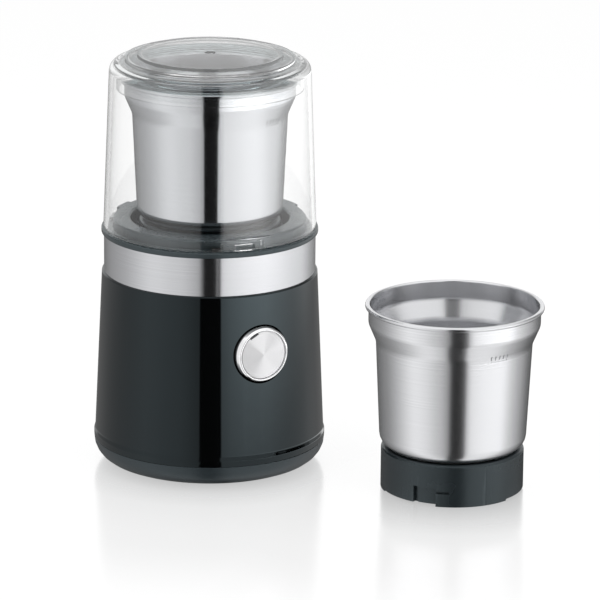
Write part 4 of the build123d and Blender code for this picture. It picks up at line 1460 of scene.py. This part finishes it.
@dataclass
class Lid(Assembly):
    """The clear lid with its stepped roof, tabs and mark, and its seal."""

    foot: float = 0.1364
    foot_radius: float = 0.0597
    shoulder: float = 0.2305
    shoulder_radius: float = 0.0561
    wall: float = 0.0023
    roof: float = 0.0022
    plateau: float = 0.233
    plateau_radius: float = 0.0475
    top: float = 0.235
    disc_radius: float = 0.0405
    locator_radius: float = 0.0522
    locator_foot: float = 0.216
    locator_wall: float = 0.0016
    dimple: Triple = (0.0033, 0.0022, 0.0009)
    tab: Quad = (0.005, 0.0021, 0.1372, 0.1392)
    tab_arc: float = 11.0
    plate: Quad = (0.0014, -0.00012, 0.1373, 0.1412)
    plate_angles: Pair = (250.0, 22.0)
    rest_angle: float = 262.0
    fit: float = 0.0001
    seal_width: float = 0.0036
    seal_ribs: int = 4
    seal_groove: float = 0.0003
    seal_share: float = 0.3
    mark_top: float = 0.1433
    mark_start: float = 250.6
    mark_arc: float = 25.0
    mark_lean: float = -29.0
    ridge_width: float = 0.0009
    ridge_height: float = 0.0004
    ridge_root: float = 0.0013
    slant_middle: float = 0.1403
    slant_half: float = 0.0034
    slant_aside: float = 1.5
    arrow_angle: float = 271.0
    arrow_size: float = 0.0016
    arrow_levels: Pair = (-0.0008, 0.0003)

    def dome(self) -> Solid:
        """Shape the dome, its locating ring, tabs and lock mark.

        Returns:
            The dome.
        """
        locator_bore = self.locator_radius - self.locator_wall
        dimple_edge, dimple_floor, dimple_depth = self.dimple
        under = self.shoulder - self.roof
        body = Solid.turned((
            (0.0, self.top - self.roof),
            (self.disc_radius - self.roof, self.top - self.roof, 0.0006),
            (self.disc_radius - self.roof, self.plateau - self.roof, 0.0006),
            (self.plateau_radius - self.roof, self.plateau - self.roof, 0.0006),
            (self.plateau_radius - self.roof, under, 0.0006),
            (locator_bore, under, 0.0005),
            (locator_bore, self.locator_foot, 0.0004),
            (self.locator_radius, self.locator_foot, 0.0004),
            (self.locator_radius, under, 0.0004),
            (self.shoulder_radius - self.wall, under, 0.001),
            (self.foot_radius - self.wall, self.foot, 0.0005),
            (self.foot_radius, self.foot, 0.0005),
            (self.shoulder_radius, self.shoulder, 0.0056),
            (self.plateau_radius, self.shoulder, 0.0004),
            (self.plateau_radius, self.plateau, 0.0004),
            (self.disc_radius, self.plateau, 0.0003),
            (self.disc_radius, self.top, 0.0004),
            (dimple_edge, self.top, 0.0004),
            (dimple_floor, self.top - dimple_depth, 0.0004),
            (0.0, self.top - dimple_depth),
        ), steps=192)
        first = self.rest_angle - self.tab_arc / 2
        tabs = [self.raised(self.tab, start, self.tab_arc) for start in thirds(first)]
        body.join(*tabs, self.raised(self.plate, *self.plate_angles))
        for ridge in self.mark():
            body.join(ridge)
        return body

    def raised(self, size: Quad, start: float, arc: float) -> Solid:
        """Shape part of a ring on the dome's wall.

        Args:
            size: How far its inner and outer side lie inside the foot's radius, and its two levels.
            start: Its first angle in degrees.
            arc: The angle that it spans.

        Returns:
            The part ring.
        """
        inner, outer, low, high = size
        return Solid.arc(self.foot_radius - inner, self.foot_radius - outer, low, high, start, arc)

    def mark(self) -> list[Solid]:
        """Shape the ridges of the lock mark: a slanted and a level line, and a plain arrowhead.

        Returns:
            The ridges.
        """
        outer = self.foot_radius - self.fit
        inner = outer - self.ridge_root
        half = self.ridge_width / 2
        low, high = self.mark_top - half, self.mark_top + half
        level = Solid.arc(inner, outer, low, high, self.mark_start, self.mark_arc, self.ridge_height)
        lean = Matrix.Rotation(math.radians(self.mark_lean), 4, "X")
        middle = Matrix.Translation((0.0, 0.0, self.slant_middle))
        stand = about_z(self.mark_start - self.slant_aside, outer - self.fit) @ middle @ lean
        slanted = Solid.rod(half, -self.slant_half, self.slant_half, stand, 16)
        point = about_z(self.arrow_angle, self.foot_radius) @ middle @ Matrix.Rotation(math.pi / 2, 4, "Y")
        arrow = Solid.rod(self.arrow_size, *self.arrow_levels, point, 3)
        return [level, slanted, arrow]

    def seal(self) -> Solid:
        """Shape the seal that presses on the cup's rim.

        Returns:
            The seal.
        """
        low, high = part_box("lid_seal")
        outer = high.x
        inner = outer - self.seal_width
        pitch = (high.z - low.z) / (self.seal_ribs + 1)
        ribs = [
            corner
            for rib in range(1, self.seal_ribs + 1)
            for corner in (
                (outer, low.z + pitch * (rib - self.seal_share)),
                (outer - self.seal_groove, low.z + pitch * rib),
                (outer, low.z + pitch * (rib + self.seal_share)),
            )
        ]
        return Solid.turned((
            (inner, low.z, 0.0006),
            (outer, low.z, 0.0004),
            *ribs,
            (outer, high.z, 0.0003),
            (inner, high.z, 0.0003),
        ), steps=192)

    def build(self) -> None:
        """Show the lid's pieces."""
        self.piece("dome", self.dome(), CLEAR, "lid_dome")
        self.piece("seal", self.seal(), CLEAR_SILICONE, "lid_seal")


# ---------------------------------------------------------------- cups


class Wings(Enum):
    """How each kind of blade's wings stand: their angles, and how far each tip rises."""

    TWO = ((180.0, 0.007), (0.0, -0.0028))
    FOUR = ((0.0, 0.007), (90.0, -0.0028), (180.0, 0.007), (270.0, -0.0028))


@dataclass
class Blade(Assembly):
    """A stamped blade with a ground edge on each wing."""

    wings: Wings
    node: str
    name: str
    place: Matrix
    level: float = 0.0306
    sheet: float = 0.0016
    hub: float = 0.007
    bend: float = 0.0086
    tip: float = 0.033
    half_width: float = 0.0055
    grind: float = 0.0024
    edge_land: float = 0.2
    root_edge: float = 0.0065
    edge_taper: float = 0.006 / 0.0254
    root: float = 0.003
    stations: tuple[float, ...] = (0.01283, 0.018, 0.0255)
    bore: float = 0.00253

    def section(self, reach: float, rise: float) -> list[Vector]:
        """One cross-section of a wing that lies along +X.

        Args:
            reach: Its distance from the axis.
            rise: How far the wing's tip rises.

        Returns:
            Its corners.
        """
        lift = max(0.0, (reach - self.bend) / (self.tip - self.bend)) * rise
        edge = max(-self.half_width, (reach - self.bend) * self.edge_taper - self.root_edge)
        low = self.level + lift
        outline = (
            (edge, low),
            (self.half_width, low),
            (self.half_width, low + self.sheet),
            (edge + self.grind, low + self.sheet),
            (edge, low + self.sheet * self.edge_land),
        )
        return [Vector((reach, across, height)) for across, height in outline]

    def wing(self, angle: float, rise: float) -> Solid:
        """Shape one wing by extruding its section outwards.

        Args:
            angle: The wing's direction in degrees.
            rise: How far its tip rises.

        Returns:
            The wing.
        """
        bm = bmesh.new()
        reaches = (self.hub - self.root, self.hub, self.bend, *self.stations, self.tip)
        face = bm.faces.new([bm.verts.new(corner) for corner in self.section(reaches[0], rise)])
        for reach in reaches[1:]:
            made = bmesh.ops.extrude_discrete_faces(bm, faces=[face])
            face = made["faces"][0]
            for vert, corner in zip(face.verts, self.section(reach, rise)):
                vert.co = corner
        bmesh.ops.holes_fill(bm, edges=[edge for edge in bm.edges if edge.is_boundary], sides=0)
        bmesh.ops.transform(bm, matrix=about_z(angle), verts=bm.verts[:])
        return Solid(bm)

    def build(self) -> None:
        """Show the blade."""
        hub = Solid.rod(self.hub, self.level, self.level + self.sheet, segments=64)
        whole = hub.join(*[self.wing(angle, rise) for angle, rise in self.wings.value], crossing=True)
        whole.cut(Solid.rod(self.bore, self.level - self.hub, self.level + self.hub))
        self.piece(self.name, whole.moved(self.place), BLADE_STEEL, self.node)


class BaseCut(Enum):
    """Cuts in a cup's base, three each: depth, lower and upper level, first angle and arc in degrees."""

    ENTRY = (0.0015, -0.001, 0.0104, 0.0, 19.2)
    SLOT = (0.0022, -0.001, 0.0106, 0.0, 3.5)
    LATCH = (0.0015, 0.00755, 0.00895, 18.7, 11.2)
    LIFT = (0.004, -0.001, 0.0011, -38.9, 58.1)
    SEAM = (0.00012, -0.001, 0.0215, -60.0, 0.35)


@dataclass
class GrindingCup(Assembly):
    """A steel cup on its bayonet base, standing wherever it is placed."""

    prefix: str
    place: Matrix
    base_angle: float
    blade_angle: float
    steel: TurnedMetal
    mark_angle: float
    wings: Wings
    blade_node: str
    base_radius: float = 0.0398
    base_wall: float = 0.003
    base_height: float = 0.024
    floor: float = 0.0234
    sheet: float = 0.0008
    neck: float = 0.0846
    neck_radius: float = 0.04345
    flange: float = 0.0946
    flange_radius: float = 0.0477
    rim: float = 0.1055
    rim_radius: float = 0.0496
    bore: float = 0.0071
    plate: float = 0.003
    past: float = 0.001
    mark_drop: float = 0.0011
    mark_depth: float = 0.00045
    line_height: float = 0.0005
    line_arc: float = 15.0
    tick_levels: Pair = (0.0008, 0.0034)
    tick_angles: tuple[float, ...] = (0.4, 3.8, 7.2, 10.6, 14.0)
    tick_arc: float = 0.8

    def bowl(self) -> Solid:
        """Shape the drawn bowl with its flare, rolled rim and fill mark.

        Returns:
            The bowl, standing on Z = 0.
        """
        side = self.base_radius + 0.00075
        under_rim = self.rim - 0.0024
        body = Solid.turned((
            (self.bore, self.floor),
            (side, self.floor, 0.0085),
            (self.neck_radius, self.neck, 0.009),
            (self.flange_radius, self.flange, 0.006),
            (self.flange_radius, under_rim, 0.0003),
            (self.rim_radius, under_rim, 0.00115),
            (self.rim_radius, self.rim, 0.00115),
            (self.flange_radius - self.sheet, self.rim, 0.0009),
            (self.flange_radius - self.sheet, self.flange, 0.0055),
            (self.neck_radius - self.sheet, self.neck, 0.0095),
            (side - self.sheet, self.floor + self.sheet, 0.0077),
            (self.bore, self.floor + self.sheet),
        ), steps=192)
        level = self.neck - self.mark_drop
        share = (level - self.floor) / (self.neck - self.floor)
        surface = side + (self.neck_radius - side) * share
        inner, outer, half = surface - self.mark_depth, surface + self.past, self.line_height / 2
        line = Solid.arc(inner, outer, level - half, level + half, self.mark_angle, self.line_arc)
        low, high = (level + rise for rise in self.tick_levels)
        ticks = [
            Solid.arc(inner, outer, low, high, self.mark_angle + angle, self.tick_arc)
            for angle in self.tick_angles
        ]
        return body.cut(line, *ticks)

    def base(self) -> Solid:
        """Shape the moulded base with its three bayonet entries, slots and latches.

        Returns:
            The base, standing on Z = 0 with its first entry at +X.
        """
        radius, wall = self.base_radius, self.base_wall
        under_plate = self.floor - self.plate
        body = Solid.turned((
            (radius - wall, 0.0, 0.0004),
            (radius, 0.0, 0.0004),
            (radius, self.base_height, 0.0017),
            (radius - wall, self.base_height, 0.0003),
            (radius - wall, self.floor),
            (self.bore, self.floor),
            (self.bore, under_plate, 0.0003),
            (radius - wall, under_plate),
        ), steps=192)
        outside = radius + self.past
        for cut in BaseCut:
            depth, low, high, first, arc = cut.value
            body.cut(*[Solid.arc(radius - depth, outside, low, high, start, arc) for start in thirds(first)])
        return body

    def build(self) -> None:
        """Show the cup's pieces."""
        bowl = self.bowl().moved(self.place)
        base = self.base().moved(self.place @ about_z(self.base_angle))
        self.piece(self.prefix + "bowl", bowl, self.steel, self.prefix + "cup_bowl")
        self.piece(self.prefix + "base", base, CUP_BASE, self.prefix + "cup_base")
        turned = self.place @ about_z(self.blade_angle)
        Blade(self.wings, self.blade_node, self.prefix + "blade", turned).build()
        self.keep({
            self.prefix + "cup_gasket": BLACK_RUBBER,
            self.prefix + "cup_bush": BUSH_STEEL,
            self.prefix + "cup_nut": SCREW_STEEL,
            self.prefix + "blade_spindle": BUSH_STEEL,
            self.prefix + "blade_nut": BUSH_STEEL,
            self.prefix + "drive_dog": COUPLING_BLACK,
        })


# ---------------------------------------------------------------- studio


def round_stops(stops: Iterable[Pair]) -> Stops:
    """Turn stops by bearing, from -180 to 180 degrees, into stops by the share of a turn."""
    return [((bearing + 180.0) / 360.0, value) for bearing, value in stops]


def rise_stops(stops: Iterable[Pair]) -> Stops:
    """Turn stops by a direction's rise, from -1 to 1, into stops from 0 to 1."""
    return [((rise + 1.0) / 2.0, value) for rise, value in stops]


def staged(name: str, bm: bmesh.types.BMesh) -> tuple[bpy.types.Object, Graph]:
    """Put a shape into the scene with a material of its own.

    Args:
        name: The name of object, mesh and material.
        bm: The shape. It is freed.

    Returns:
        The object and its material's empty tree.
    """
    mesh = bpy.data.meshes.new(name)
    bm.to_mesh(mesh)
    bm.free()
    shown = bpy.data.objects.new(name, mesh)
    bpy.context.scene.collection.objects.link(shown)
    material = bpy.data.materials.new(name)
    material.use_nodes = True
    mesh.materials.append(material)
    return shown, Graph(material.node_tree)


@dataclass(frozen=True)
class SoftBoxes:
    """What metal and gloss reflect: soft boxes all round, a dark strip between them and a ceiling.

    Bearings are in degrees from the direction of the camera, and grow to its right. Each box stop is a
    bearing with the light at plain levels and the light in the key row, which lies between key_levels.
    """

    heading: float
    white: float = 1.0
    overhead: float = 1.15
    ceiling: Pair = (0.5, 0.85)
    backdrop_rise: Pair = (-0.1, 0.0)
    backdrop_width: Pair = (0.7, 0.85)
    boxes: tuple[Triple, ...] = (
        (-180.0, 0.2, 0.5),
        (-160.0, 0.22, 0.6),
        (-137.0, 0.4, 0.7),
        (-118.0, 0.52, 0.7),
        (-103.0, 0.64, 0.65),
        (-90.0, 0.78, 0.8),
        (-78.0, 0.93, 1.0),
        (-68.0, 1.03, 1.15),
        (-57.0, 1.03, 1.15),
        (-48.0, 0.97, 1.1),
        (-30.0, 0.89, 0.95),
        (-21.0, 0.76, 0.8),
        (-13.0, 0.64, 0.62),
        (-6.0, 0.5, 0.55),
        (8.0, 0.8, 1.2),
        (12.0, 0.92, 1.6),
        (22.0, 0.98, 2.4),
        (40.0, 1.02, 3.4),
        (62.0, 1.06, 4.0),
        (80.0, 1.06, 3.3),
        (98.0, 1.0, 2.5),
        (119.0, 0.84, 2.6),
        (140.0, 0.45, 2.0),
        (160.0, 0.25, 1.5),
        (180.0, 0.2, 0.5),
    )
    flanks: tuple[Pair, ...] = (
        (-165.0, 0.58), (-123.0, 0.66), (-101.0, 0.84), (-83.0, 0.94), (-66.0, 1.0), (-44.0, 0.95),
        (-31.0, 0.8), (-18.0, 0.62), (0.0, 0.5), (12.0, 0.65), (20.0, 0.96), (30.0, 0.98), (70.0, 0.98),
        (79.0, 0.92), (96.0, 0.68), (117.0, 0.48), (147.0, 0.33), (165.0, 0.3),
    )
    key_levels: tuple[Pair, ...] = ((-0.245, 0.0), (-0.19, 1.0), (-0.16, 1.0), (-0.12, 0.0))
    strip_fade: float = 1.6
    strip_narrowing: float = 0.34
    strip_shade: float = 0.985

    def group(self) -> bpy.types.NodeTree:
        """Build the group that gives the soft boxes' colour in any direction.

        Its inputs are the direction, the boxes' shift to the right in radians, how much the flanks are
        dimmed, and the dark strip's reach to the left and right in degrees.

        Returns:
            The node group.
        """
        tree = bpy.data.node_groups.new("soft_boxes", "ShaderNodeTree")
        graph = Graph(tree)
        source = graph.take(Direction=None, Shift=0.0, Flanks=0.0, Left=0.0, Right=0.0)
        turn = {"Vector": source["Direction"], "Rotation": (0.0, 0.0, math.radians(90.0 - self.heading))}
        turned = graph.add("ShaderNodeMapping", turn, vector_type="POINT").outputs["Vector"]
        across, along, rise = graph.split(turned)
        half = graph.math("ADD", graph.math("DIVIDE", rise, 2.0), 0.5)
        swing = graph.math("SUBTRACT", graph.math("ARCTAN2", along, across), source["Shift"])
        share = graph.math("ADD", graph.math("DIVIDE", swing, math.tau), 0.5)
        plain = graph.ramp(share, round_stops((bearing, level) for bearing, level, _ in self.boxes))
        key = graph.ramp(share, round_stops((bearing, level) for bearing, _, level in self.boxes))
        loss = graph.product(source["Flanks"], graph.rest(graph.ramp(share, round_stops(self.flanks))))
        kept = graph.product(graph.rest(loss), self._beside_strip(graph, swing, rise, source))
        boxes = graph.mix(graph.ramp(half, rise_stops(self.key_levels)), plain, key)
        start, end = self.ceiling
        overhead = graph.remap(rise, start=start, end=end, soft=True)
        roofed = graph.mix(overhead, graph.scaled(boxes, kept), (self.overhead,) * 3)
        low, high = self.backdrop_rise
        start, end = self.backdrop_width
        behind = graph.remap(graph.product(across, -1.0), start=start, end=end)
        backdrop = graph.product(graph.remap(rise, start=low, end=high), behind)
        graph.give(Color=graph.mix(backdrop, roofed, (self.white,) * 3))
        return tree

    def _beside_strip(
        self, graph: Graph, swing: Socket, rise: Socket, source: bpy.types.NodeOutputs
    ) -> Socket:
        """Work out what the dark strip between the boxes leaves of their light.

        Args:
            graph: The group's tree.
            swing: The bearing in radians.
            rise: The direction's rise. The strip is wider in bearing where the direction is steep.
            source: The group's inputs.

        Returns:
            The share of the light that is left.
        """
        steep = graph.rest(graph.product(rise, rise))
        aside = graph.product(swing, graph.math("POWER", steep, self.strip_narrowing))
        left = graph.math("ADD", aside, graph.math("RADIANS", source["Left"]))
        right = graph.math("SUBTRACT", graph.math("RADIANS", source["Right"]), aside)
        fade = math.radians(self.strip_fade) / 2
        within = graph.math("MINIMUM", left, right)
        return graph.remap(within, 1.0, 1.0 - self.strip_shade, -fade, fade, soft=True)


@dataclass(frozen=True)
class Lamp:
    """A soft, square lamp that shines at the object from a bearing and a rise in degrees."""

    name: str
    bearing: float
    rise: float
    size: float
    power: float
    distance: float = 1.1
    aim: Triple = (0.03, -0.04, 0.1)

    def hang(self, heading: float) -> None:
        """Hang the lamp where no reflection shows it.

        Args:
            heading: The camera's heading in degrees.
        """
        light = bpy.data.lights.new(self.name, "AREA")
        light.shape = "SQUARE"
        light.size = self.size
        light.energy = self.power
        hung = bpy.data.objects.new(self.name, light)
        turn = math.radians(self.bearing - 90.0 + heading)
        up = math.radians(self.rise)
        outward = Vector((math.cos(turn) * math.cos(up), math.sin(turn) * math.cos(up), math.sin(up)))
        hung.location = Vector(self.aim) + outward * self.distance
        hung.rotation_euler = outward.to_track_quat("Z", "Y").to_euler()
        hung.visible_glossy = False
        bpy.context.scene.collection.objects.link(hung)


@dataclass(frozen=True)
class Camera:
    """The camera, which sees both cups from a little above. Its angles are in radians."""

    distance: float = 2.4119
    height: float = 0.7882
    pitch: float = 0.28085
    yaw: float = 0.02111
    roll: float = 0.00852
    lens: float = 267.2
    sensor: float = 36.0
    reach: float = 20.0

    def stand(self, heading: float) -> None:
        """Put the camera in its place.

        Args:
            heading: How far it is turned round the object, in degrees.
        """
        data = bpy.data.cameras.new("camera")
        data.lens = self.lens
        data.sensor_width = self.sensor
        data.clip_end = self.reach
        forward = Vector((
            math.sin(self.yaw) * math.cos(self.pitch),
            math.cos(self.yaw) * math.cos(self.pitch),
            -math.sin(self.pitch),
        ))
        level_right = Vector((math.cos(self.yaw), -math.sin(self.yaw), 0.0))
        level_up = level_right.cross(forward)
        right = level_right * math.cos(self.roll) + level_up * math.sin(self.roll)
        up = level_up * math.cos(self.roll) - level_right * math.sin(self.roll)
        axes = Matrix((right, up, -forward)).transposed().to_4x4()
        shown = bpy.data.objects.new("camera", data)
        shown.matrix_world = about_z(heading) @ Matrix.Translation((0.0, -self.distance, self.height)) @ axes
        bpy.context.scene.collection.objects.link(shown)
        bpy.context.scene.camera = shown


@dataclass
class Studio:
    """White sweep, soft boxes that only metal and gloss see, soft lamps and the camera.

    Each strip field is the dark strip's reach to the left and right in degrees, as one part shows it.
    """

    heading: float = -27.8
    white: float = 1.0
    ambient: float = 0.62
    shade: float = 0.2
    strip_base: Pair = (9.9, 10.5)
    strip_band: Pair = (6.6, 7.0)
    strip_cup: Pair = (8.8, 15.0)
    strip_spare: Pair = (12.0, 11.6)
    band_levels: tuple[Pair, ...] = ((-0.32, 0.0), (-0.3, 1.0), (-0.25, 1.0), (-0.225, 0.0))
    front_range: Pair = (0.3, 0.6)
    back_range: Pair = (0.5, 0.6)
    bent_range: Pair = (0.0, 0.15)
    caught_range: Pair = (-0.4, -0.1)
    card_size: float = 1.0
    card_place: float = 0.0755
    card_front: float = -0.19
    card_gap: float = 0.001
    beside_shift: float = 4.2
    floor_radius: float = 4.0
    floor_colour: Colour = (0.9, 0.9, 0.9)
    floor_glow: float = 1.04
    floor_plainness: float = 0.86
    mirror_roughness: float = 0.16
    mirror_reach: float = 0.26
    mirror_falloff: tuple[Pair, ...] = (
        (0.0, 0.46), (0.06, 0.36), (0.096, 0.3), (0.18, 0.2), (0.265, 0.175), (0.35, 0.158), (0.44, 0.15),
        (0.52, 0.125), (0.615, 0.085), (0.69, 0.055), (0.77, 0.035), (1.0, 0.0),
    )
    contacts: tuple[Triple, ...] = ((0.0, 0.0, 0.0445), (0.0955, -0.1092, 0.0398))
    lamps: tuple[Lamp, ...] = (
        Lamp("left_lamp", -58.0, 42.0, 0.7, 3.0),
        Lamp("right_lamp", 52.0, 36.0, 0.7, 4.5),
        Lamp("top_lamp", -150.0, 74.0, 0.8, 3.5),
    )

    def strip_reach(self, graph: Graph, side: int, rise: Socket, indoors: Socket) -> Socket:
        """Give the dark strip's reach to one side, as the base, the band and the cup under the lid show it.

        Args:
            graph: The world's tree.
            side: 0 for the left and 1 for the right.
            rise: The direction's rise, from -1 to 1.
            indoors: 1 for light that came out through the lid, and else 0.

        Returns:
            The reach in degrees.
        """
        base, band = self.strip_base[side], self.strip_band[side]
        half = graph.math("ADD", graph.math("DIVIDE", rise, 2.0), 0.5)
        banded = graph.ramp(half, rise_stops(self.band_levels))
        outdoors = graph.math("ADD", graph.product(banded, band - base), base)
        change = graph.math("SUBTRACT", self.strip_cup[side], outdoors)
        return graph.math("ADD", outdoors, graph.product(indoors, change))

    def world(self, boxes: bpy.types.NodeTree) -> None:
        """Light the scene evenly, and give metal and gloss the soft boxes to reflect.

        Args:
            boxes: The group with the soft boxes.
        """
        world = bpy.data.worlds.new("studio")
        bpy.context.scene.world = world
        world.use_nodes = True
        graph = Graph(world.node_tree)
        direction = graph.add("ShaderNodeTexCoord").outputs["Generated"]
        rays = graph.add("ShaderNodeLightPath").outputs
        through = rays["Is Transmission Ray"]
        turn = math.radians(self.heading)
        frontward = graph.along(direction, (math.sin(turn), -math.cos(turn), 0.0))
        rightward = graph.along(direction, (math.cos(turn), math.sin(turn), 0.0))
        rise = graph.split(direction)["Z"]

        caught = graph.math("MODULO", rays["Transmission Depth"], 2.0)
        mirrored = graph.product(graph.math("SUBTRACT", rays["Is Glossy Ray"], through), graph.rest(caught))
        start, end = self.front_range
        bounced = graph.math("MINIMUM", rays["Glossy Depth"], 1.0)
        returned = graph.product(bounced, graph.remap(frontward, start=start, end=end), through)
        indoors = graph.math("MINIMUM", rays["Transmission Depth"], 1.0)
        start, end = self.back_range
        backward = graph.remap(frontward, 1.0, 0.0, start, end)
        around = graph.add("ShaderNodeGroup", {
            "Direction": direction,
            "Flanks": graph.product(graph.math("GREATER_THAN", rightward, 0.0), backward),
            "Left": self.strip_reach(graph, 0, rise, indoors),
            "Right": self.strip_reach(graph, 1, rise, indoors),
        }, node_tree=boxes).outputs["Color"]

        start, end = self.bent_range
        bent = graph.product(graph.remap(rise, start=start, end=end), through)
        start, end = self.caught_range
        lost = graph.product(graph.remap(rise, start=start, end=end), caught)
        plain = graph.mix(graph.math("MAXIMUM", bent, lost), (self.white,) * 3, (self.shade,) * 3)
        seen = graph.mix(graph.math("MAXIMUM", mirrored, returned), plain, around)
        strength = graph.remap(rays["Is Diffuse Ray"], 1.0, self.ambient)
        light = graph.add("ShaderNodeBackground", {"Color": seen, "Strength": strength})
        graph.add("ShaderNodeOutputWorld", {"Surface": light.outputs[0]})

    def card(self, name: str, boxes: bpy.types.NodeTree, place: Matrix, shift: float, flanks: float) -> None:
        """Stand a card that shows the soft boxes to reflections, unless they lead upward.

        Args:
            name: The card's name.
            boxes: The group with the soft boxes.
            place: Where the upright card's middle stands in the camera's heading, and how it turns.
            shift: How far the soft boxes swing to the right, in degrees.
            flanks: How much of the spare cup's own dimming is used.
        """
        bm = bmesh.new()
        bmesh.ops.create_grid(bm, x_segments=1, y_segments=1, size=self.card_size / 2)
        upright = Matrix.Rotation(math.pi / 2, 4, "Y")
        bmesh.ops.transform(bm, matrix=about_z(self.heading) @ place @ upright, verts=bm.verts[:])
        shown, graph = staged(name, bm)
        shown.visible_camera = False
        shown.visible_diffuse = False
        shown.visible_transmission = False
        shown.visible_shadow = False
        onward = graph.scaled(graph.add("ShaderNodeNewGeometry").outputs["Incoming"], -1.0)
        left, right = self.strip_spare
        around = graph.add("ShaderNodeGroup", {
            "Direction": onward, "Shift": math.radians(shift), "Flanks": flanks, "Left": left, "Right": right,
        }, node_tree=boxes)
        glow = graph.add("ShaderNodeEmission", {"Color": around.outputs["Color"]})
        upward = graph.math("GREATER_THAN", graph.split(onward)["Z"], 0.0)
        passing = graph.add("ShaderNodeBsdfTransparent")
        graph.add("ShaderNodeOutputMaterial", {"Surface": graph.either(upward, glow, passing)})

    def cards(self, boxes: bpy.types.NodeTree) -> None:
        """Hide base and spare cup from each other, and give the cup its own view of the soft boxes.

        Args:
            boxes: The group with the soft boxes.
        """
        self.card("card_between", boxes, Matrix.Translation((self.card_place, 0.0, 0.0)), 0.0, 0.0)
        beyond = self.card_place + self.card_gap
        self.card("card_beyond", boxes, Matrix.Translation((beyond, 0.0, 0.0)), 0.0, 1.0)
        middle = beyond + self.card_gap + self.card_size / 2
        before = Matrix.Translation((middle, self.card_front, 0.0)) @ about_z(90.0)
        self.card("card_before", boxes, before, self.beside_shift, 1.0)

    def fading(self, graph: Graph, place: Socket) -> Socket:
        """Work out how strongly the floor mirrors, falling off from each foot.

        Args:
            graph: The floor's tree.
            place: The floor's coordinates.

        Returns:
            The mirror's share.
        """
        shares = []
        for across, along, foot in self.contacts:
            ends = {0: place, 1: (across, along, 0.0)}
            gap = graph.add("ShaderNodeVectorMath", ends, operation="DISTANCE").outputs["Value"]
            reach = graph.math("DIVIDE", graph.math("SUBTRACT", gap, foot), self.mirror_reach)
            shares.append(graph.ramp(reach, self.mirror_falloff))
        return graph.math("MAXIMUM", *shares)

    def floor(self) -> None:
        """Lay the white floor, which takes soft shadow and a faint, blurred reflection."""
        bm = bmesh.new()
        bmesh.ops.create_circle(bm, cap_ends=True, segments=96, radius=self.floor_radius)
        shown, graph = staged("floor", bm)
        shown.visible_glossy = False
        shown.visible_transmission = False
        lit = graph.add("ShaderNodeBsdfDiffuse", {"Color": self.floor_colour})
        glow = graph.add("ShaderNodeEmission", {"Color": (self.white,) * 3, "Strength": self.floor_glow})
        plain = graph.either(self.floor_plainness, lit, glow).node
        polish = {"Color": (1.0, 1.0, 1.0), "Roughness": self.mirror_roughness}
        mirror = graph.add("ShaderNodeBsdfGlossy", polish)
        share = self.fading(graph, graph.add("ShaderNodeTexCoord").outputs["Object"])
        graph.add("ShaderNodeOutputMaterial", {"Surface": graph.either(share, plain, mirror)})

    def build(self) -> None:
        """Set the whole studio up."""
        boxes = SoftBoxes(self.heading, self.white).group()
        self.world(boxes)
        self.cards(boxes)
        self.floor()
        for lamp in self.lamps:
            lamp.hang(self.heading)
        Camera().stand(self.heading)
        bpy.context.scene.view_settings.view_transform = "Standard"


def main() -> None:
    logging.basicConfig(level=logging.INFO, format="%(name)s: %(message)s")
    MotorBase().build()
    PushButton().build()
    MotorInside().build()
    Lid().build()
    low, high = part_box("spare_cup_bowl")
    spare_axis = (low + high) / 2
    standing = Matrix.Translation((0.0, 0.0, MotorBase.socket_floor))
    beside = Matrix.Translation((spare_axis.x, spare_axis.y, 0.0))
    spare_steel = TurnedMetal(
        "spare_cup_steel", (0.82, 0.825, 0.84), (0.65, 0.655, 0.675), (spare_axis.x, spare_axis.y, 0.0),
        pitch=CUP_STEEL.pitch, roughness=0.25, depth=0.0000024,
    )
    GrindingCup(
        prefix="", place=standing, base_angle=80.4, blade_angle=0.0, steel=CUP_STEEL, mark_angle=286.2,
        wings=Wings.TWO, blade_node="two_wing_blade",
    ).build()
    GrindingCup(
        prefix="spare_", place=beside, base_angle=207.1, blade_angle=207.1, steel=spare_steel,
        mark_angle=265.9, wings=Wings.FOUR, blade_node="four_wing_blade",
    ).build()
    Studio().build()


if __name__ == "__main__":
    main()
